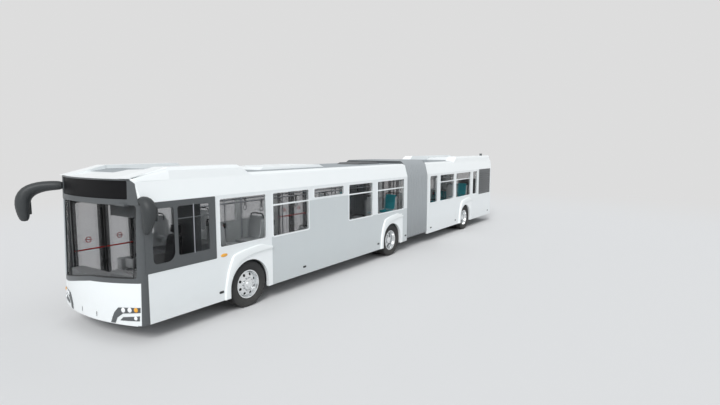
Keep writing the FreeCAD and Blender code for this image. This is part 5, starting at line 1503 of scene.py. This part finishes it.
driverSeat = {
    # each pad's width, height and thickness, and where channels are sewn across it
    "cushion": (0.42, 0.44, 0.12, (-0.42, 0.42)), "back": (0.44, 0.60, 0.11, (-0.5, -0.1, 0.45)),
    "headrest": (0.27, 0.17, 0.10, ()),
    "cushionAt": 1.05, "cushionAhead": 0.01, "cushionTilt": 4.0,
    "backAhead": 0.115, "backOver": 0.03, "lean": 11.0, "headGap": 0.02,
    "steps": 30, "pinch": 0.03, "corner": 0.06, "swell": 0.42, "channelHalf": 0.045, "channelDeep": 0.22,
    "bolster": 0.16, "bolsterFrom": 0.55, "bolsterOver": 0.3, "upper": 0.64, "under": 0.36,
    "piping": 0.004, "pipingSteps": 64, "pipingPower": 0.32, "pipingShare": 0.985,
    # the base's boxes as half long, half wide, low, high and edge, above the seat's foot
    "plinth": (0.17, 0.16, 0.001, 0.05, 0.015), "folds": 5, "fold": (0.13, 0.13, 0.045, 0.018),
    "foldEvery": 0.05, "pan": (0.18, 0.19, 0.31, 0.035, 0.015),
    # the headrest's prongs: ahead and across, and from where to where past the back's top
    "prongs": ((-0.01, -0.06), (-0.01, 0.06)), "prongSpan": (-0.05, 0.06), "prongRadius": 0.007,
}


def pinched(u, v, wide, tall):
    # a place on a pad from -1..1 both ways, its edges drawn in between the corners
    pinch = driverSeat["pinch"]
    return Vector((u * wide / 2 * (1 - pinch * (1 - v * v)), v * tall / 2 * (1 - pinch * (1 - u * u)), 0))


def addPiping(bm, wide, tall, place):
    # a cord along the seam round a pad
    form, seam = driverSeat, []
    for number in range(form["pipingSteps"]):
        angle = math.tau * number / form["pipingSteps"]
        u, v = (math.copysign(abs(part) ** form["pipingPower"], part)
                for part in (math.cos(angle), math.sin(angle)))
        seam.append(place @ pinched(u, v, wide * form["pipingShare"], tall * form["pipingShare"]))
    addPath(bm, seam + seam[:1], form["piping"], 6)


def makePad(name, size, place, piping):
    # a crowned closed form with sewn channels across it; its underside swells less
    form, bm = driverSeat, bmesh.new()
    wide, tall, thick, channels = size
    for face in (form["upper"], -form["under"]):
        made = bmesh.ops.create_grid(bm, x_segments=form["steps"], y_segments=form["steps"], size=0.5)
        for vert in made["verts"]:
            u, v = vert.co.x * 2, vert.co.y * 2
            dip = bolster = 0
            if face > 0:
                dip = sum(math.exp(-((v - channel) / form["channelHalf"]) ** 2) for channel in channels)
                side = (abs(u) - form["bolsterFrom"]) / form["bolsterOver"]
                bolster = form["bolster"] * min(max(side, 0), 1)
            swell = max((1 - u ** 4) * (1 - v ** 4), 0) ** form["swell"]
            vert.co = pinched(u, v, wide, tall) * (1 - form["corner"] * (u * u * v * v))
            vert.co.z = face * thick * swell * (1 - form["channelDeep"] * dip + bolster)
    outward(bm, 0.0004)
    bmesh.ops.transform(bm, matrix=place, verts=bm.verts)
    piece = makePiece(name, bm, seatCloth, "front_section",
                      ("drivers_seat",) if name == "seat_cushion" else (), 60)
    addPiping(piping, wide, tall, place)


def turned(angle, axis):
    return Matrix.Rotation(math.radians(angle), 4, axis)


def makeDriverSeat():
    form = driverSeat
    lows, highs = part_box("drivers_seat")
    x, y = (lows.x + highs.x) / 2, (lows.y + highs.y) / 2
    piping = bmesh.new()
    flat = Matrix.Translation((x + form["cushionAhead"], y, form["cushionAt"]))
    makePad("seat_cushion", form["cushion"], flat @ turned(-form["cushionTilt"], "Y") @ turned(90, "Z"),
            piping)
    foot = Vector((lows.x + form["backAhead"], y, form["cushionAt"] + form["backOver"]))
    leaning = Matrix.Translation(foot) @ turned(-form["lean"], "Y")
    upright = Matrix(((0, 0, 1, 0), (1, 0, 0, 0), (0, 1, 0, 0), (0, 0, 0, 1)))
    tall = form["back"][1]
    makePad("seat_back", form["back"], leaning @ Matrix.Translation((0, 0, tall / 2)) @ upright, piping)
    head = Matrix.Translation((0, 0, tall + form["headGap"] + form["headrest"][1] / 2))
    makePad("seat_headrest", form["headrest"], leaning @ head @ upright, piping)
    makePiece("seat_piping", piping, blackPlastic, "front_section")
    bm = bmesh.new()

    def addLayer(long, wide, foot, top, edge):
        addBox(bm, (x - long, y - wide, foot), (x + long, y + wide, top), edge)

    long, wide, foot, top, edge = form["plinth"]
    addLayer(long, wide, lows.z + foot, lows.z + top, edge)
    long, wide, tallFold, edge = form["fold"]
    for number in range(form["folds"]):
        z = lows.z + top + number * form["foldEvery"]
        addLayer(long, wide, z, z + tallFold, edge)
    long, wide, foot, under, edge = form["pan"]
    addLayer(long, wide, lows.z + foot, form["cushionAt"] - under, edge)
    for place in form["prongs"]:
        addTube(bm, *(leaning @ Vector((*place, tall + past)) for past in form["prongSpan"]),
                form["prongRadius"], 10)
    makePiece("seat_base", bm, blackPlastic, "front_section")


makeDriverSeat()
print("driver's seat made")


# the tail: an arc in plan that leans forward, and what lies on it as (across, height)

tail = {
    "sweep": 4.5, "lean": 0.06 / 3.2,
    # each sheet's low and high corner, its corners' radius and its thickness
    "plate": ((-0.26, 0.42), (0.26, 0.53), 0.012, 0.008),
    "handle": ((-0.06, 0.78), (0.06, 0.83), 0.015, 0.02),
    "lid": ((-0.86, 0.62), (0.86, 1.46), 0.05, 0.003), "groove": 0.008, "grooveRound": 0.045,
    "slats": 7, "slatFrom": 0.98, "slatEvery": 0.06, "slatHigh": 0.03, "slatSpan": (0.06, 0.74),
    "slatRound": 0.012, "slatThick": 0.012,
    "sealOut": 0.03, "sealIn": 0.02, "sealRounds": (0.08, 0.05), "sealThick": 0.008, "sealInner": 0.003,
    "lampWide": 0.108, "lampRound": 0.02, "lampThick": 0.014, "lampInner": 0.006,
    "lamp": (0.016, 0.042, 0.042), "lampEdge": 0.07, "lampProud": 0.008,
    "lampFinishes": (1, 1, 2, 3, 1),     # from the lowest up
}


def onTail(across, height, lift):
    sweep = tail["sweep"] - tail["lean"] * height
    centreX = tailTip + tail["sweep"] - tail["lean"] * skirtLow
    reach = math.sqrt(sweep ** 2 - across ** 2)
    return Vector((centreX - reach - lift * reach / sweep, across + lift * across / sweep, height))


def tailSheet(loops, thick, lift=-sunk, cuts=10):
    places = [u for loop in loops for u, _ in loop]
    return bentSheet(loops, onTail, thick, lift, steps(min(places), max(places), cuts)[1:-1])


def grown(lows, highs, grow, radius):
    # a round-cornered rectangle that is that much larger all round
    return roundedLoop([value - grow for value in lows], [value + grow for value in highs], radius, 3)


def tailPlate(name, cuts):
    lows, highs, bend, thick = tail[name]
    return tailSheet([grown(lows, highs, 0, bend)], thick, cuts=cuts)


def makeTailLamps():
    bm = bmesh.new()
    lows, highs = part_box("tail_lamps")
    wide, edge, last = tail["lampWide"], tail["lampEdge"], len(tail["lampFinishes"]) - 1
    for middle in (highs.y - wide / 2, wide / 2 - highs.y):
        loop = grown((middle - wide / 2, lows.z), (middle + wide / 2, highs.z), 0, tail["lampRound"])
        joinInto(bm, tailSheet([loop], tail["lampThick"], -tail["lampInner"], 3))
        for number, index in enumerate(tail["lampFinishes"]):
            height = lows.z + edge + number * (highs.z - lows.z - 2 * edge) / last
            place = Matrix.Translation(onTail(middle, height, tail["lampProud"]))
            addDome(bm, tail["lamp"], place, materialIndex=index)
    makePiece("tail_lamp_clusters", bm, [darkTrim, lampRed, lampAmber, lampWhite], "rear_section",
              ("tail_lamps",))


def makeTailFace():
    *lid, bend, thick = tail["lid"]
    dark = tailSheet([grown(*lid, 0, bend), grown(*lid, -tail["groove"], tail["grooveRound"])], thick)
    near, far = tail["slatSpan"]
    for number in range(tail["slats"]):
        foot = tail["slatFrom"] + number * tail["slatEvery"]
        for start, stop in ((-far, -near), (near, far)):
            slat = grown((start, foot), (stop, foot + tail["slatHigh"]), 0, tail["slatRound"])
            joinInto(dark, tailSheet([slat], tail["slatThick"], cuts=5))
    window = low("rear_window").yz, high("rear_window").yz
    seal = [grown(*window, grow, bend)
            for grow, bend in zip((tail["sealOut"], -tail["sealIn"]), tail["sealRounds"])]
    joinInto(dark, tailSheet(seal, tail["sealThick"], -tail["sealInner"]))
    joinInto(dark, tailPlate("handle", 2))
    makePiece("tail_trim", dark, blackPlastic, "rear_section")
    makePiece("blank_plate", tailPlate("plate", 3), frameWhite, "rear_section")


makeTailLamps()
makeTailFace()
print("tail made")


# stage, light and camera

stage = {
    "floor": (0.72, 0.72, 0.72), "backdrop": (0.724, 0.724, 0.724), "sky": (0.62, 0.64, 0.66),
    "size": 90.0, "fadeFrom": 12.0, "fadeTo": 26.0,
    "sunPower": 1.95, "sunFrom": (0.71, 0.30, 0.63), "sunSoft": 24.0,
    "cameraAt": (13.110, 8.669, 3.296), "cameraTurn": (83.669, 0, 123.593), "lens": 24.44,
    "sensorWidth": 36.0, "clipEnd": 300.0,
}


def makeCamera():
    data = bpy.data.cameras.new("camera")
    data.lens = stage["lens"]
    data.sensor_width = stage["sensorWidth"]
    data.clip_end = stage["clipEnd"]
    camera = addObject("camera", data)
    camera.location = stage["cameraAt"]
    camera.rotation_euler = [math.radians(angle) for angle in stage["cameraTurn"]]
    bpy.context.scene.camera = camera


def makeSun():
    data = bpy.data.lights.new("sun", "SUN")
    data.energy = stage["sunPower"]
    data.angle = math.radians(stage["sunSoft"])
    sun = addObject("sun", data)
    sun.location = stage["sunFrom"]
    sun.rotation_euler = (-Vector(stage["sunFrom"])).to_track_quat("-Z", "Y").to_euler()


def seenRays(tree):
    path = tree.nodes.new("ShaderNodeLightPath")
    seen = mathNode(tree, "ADD", path.outputs["Is Camera Ray"], path.outputs["Is Glossy Ray"], True)
    return mathNode(tree, "ADD", seen, path.outputs["Is Transmission Ray"], True)


def makeFloor():
    # pale near the bus, and the backdrop's own colour farther off
    bm = bmesh.new()
    bmesh.ops.create_grid(bm, x_segments=1, y_segments=1, size=stage["size"])
    floor = addObject("floor", meshFrom(bm, "floor"))
    material, tree, plain = newMaterial("floorPlain")
    setPlain(plain, Base_Color=(*stage["floor"], 1), Roughness=1.0, Specular_IOR_Level=0.0)
    length = tree.nodes.new("ShaderNodeVectorMath")
    length.operation = "LENGTH"
    tree.links.new(tree.nodes.new("ShaderNodeTexCoord").outputs["Object"], length.inputs[0])
    far = tree.nodes.new("ShaderNodeMapRange")
    far.interpolation_type = "SMOOTHSTEP"
    tree.links.new(length.outputs["Value"], far.inputs["Value"])
    far.inputs["From Min"].default_value = stage["fadeFrom"]
    far.inputs["From Max"].default_value = stage["fadeTo"]
    glow = tree.nodes.new("ShaderNodeEmission")
    glow.inputs["Color"].default_value = (*stage["backdrop"], 1)
    mixed = tree.nodes.new("ShaderNodeMixShader")
    tree.links.new(mathNode(tree, "MULTIPLY", far.outputs["Result"], seenRays(tree)), mixed.inputs[0])
    tree.links.new(plain.outputs[0], mixed.inputs[1])
    tree.links.new(glow.outputs[0], mixed.inputs[2])
    tree.links.new(mixed.outputs[0], tree.nodes["Material Output"].inputs["Surface"])
    floor.data.materials.append(material)


def makeSky():
    world = bpy.data.worlds.new("world")
    world.use_nodes = True
    bpy.context.scene.world = world
    tree = world.node_tree
    background = tree.nodes["Background"]
    tree.links.new(blendColour(tree, seenRays(tree), stage["sky"], stage["backdrop"]),
                   background.inputs["Color"])
    background.inputs["Strength"].default_value = 1.0


makeFloor()
makeSky()
makeSun()
makeCamera()
bpy.context.scene.view_settings.view_transform = "Standard"
print("stage set")
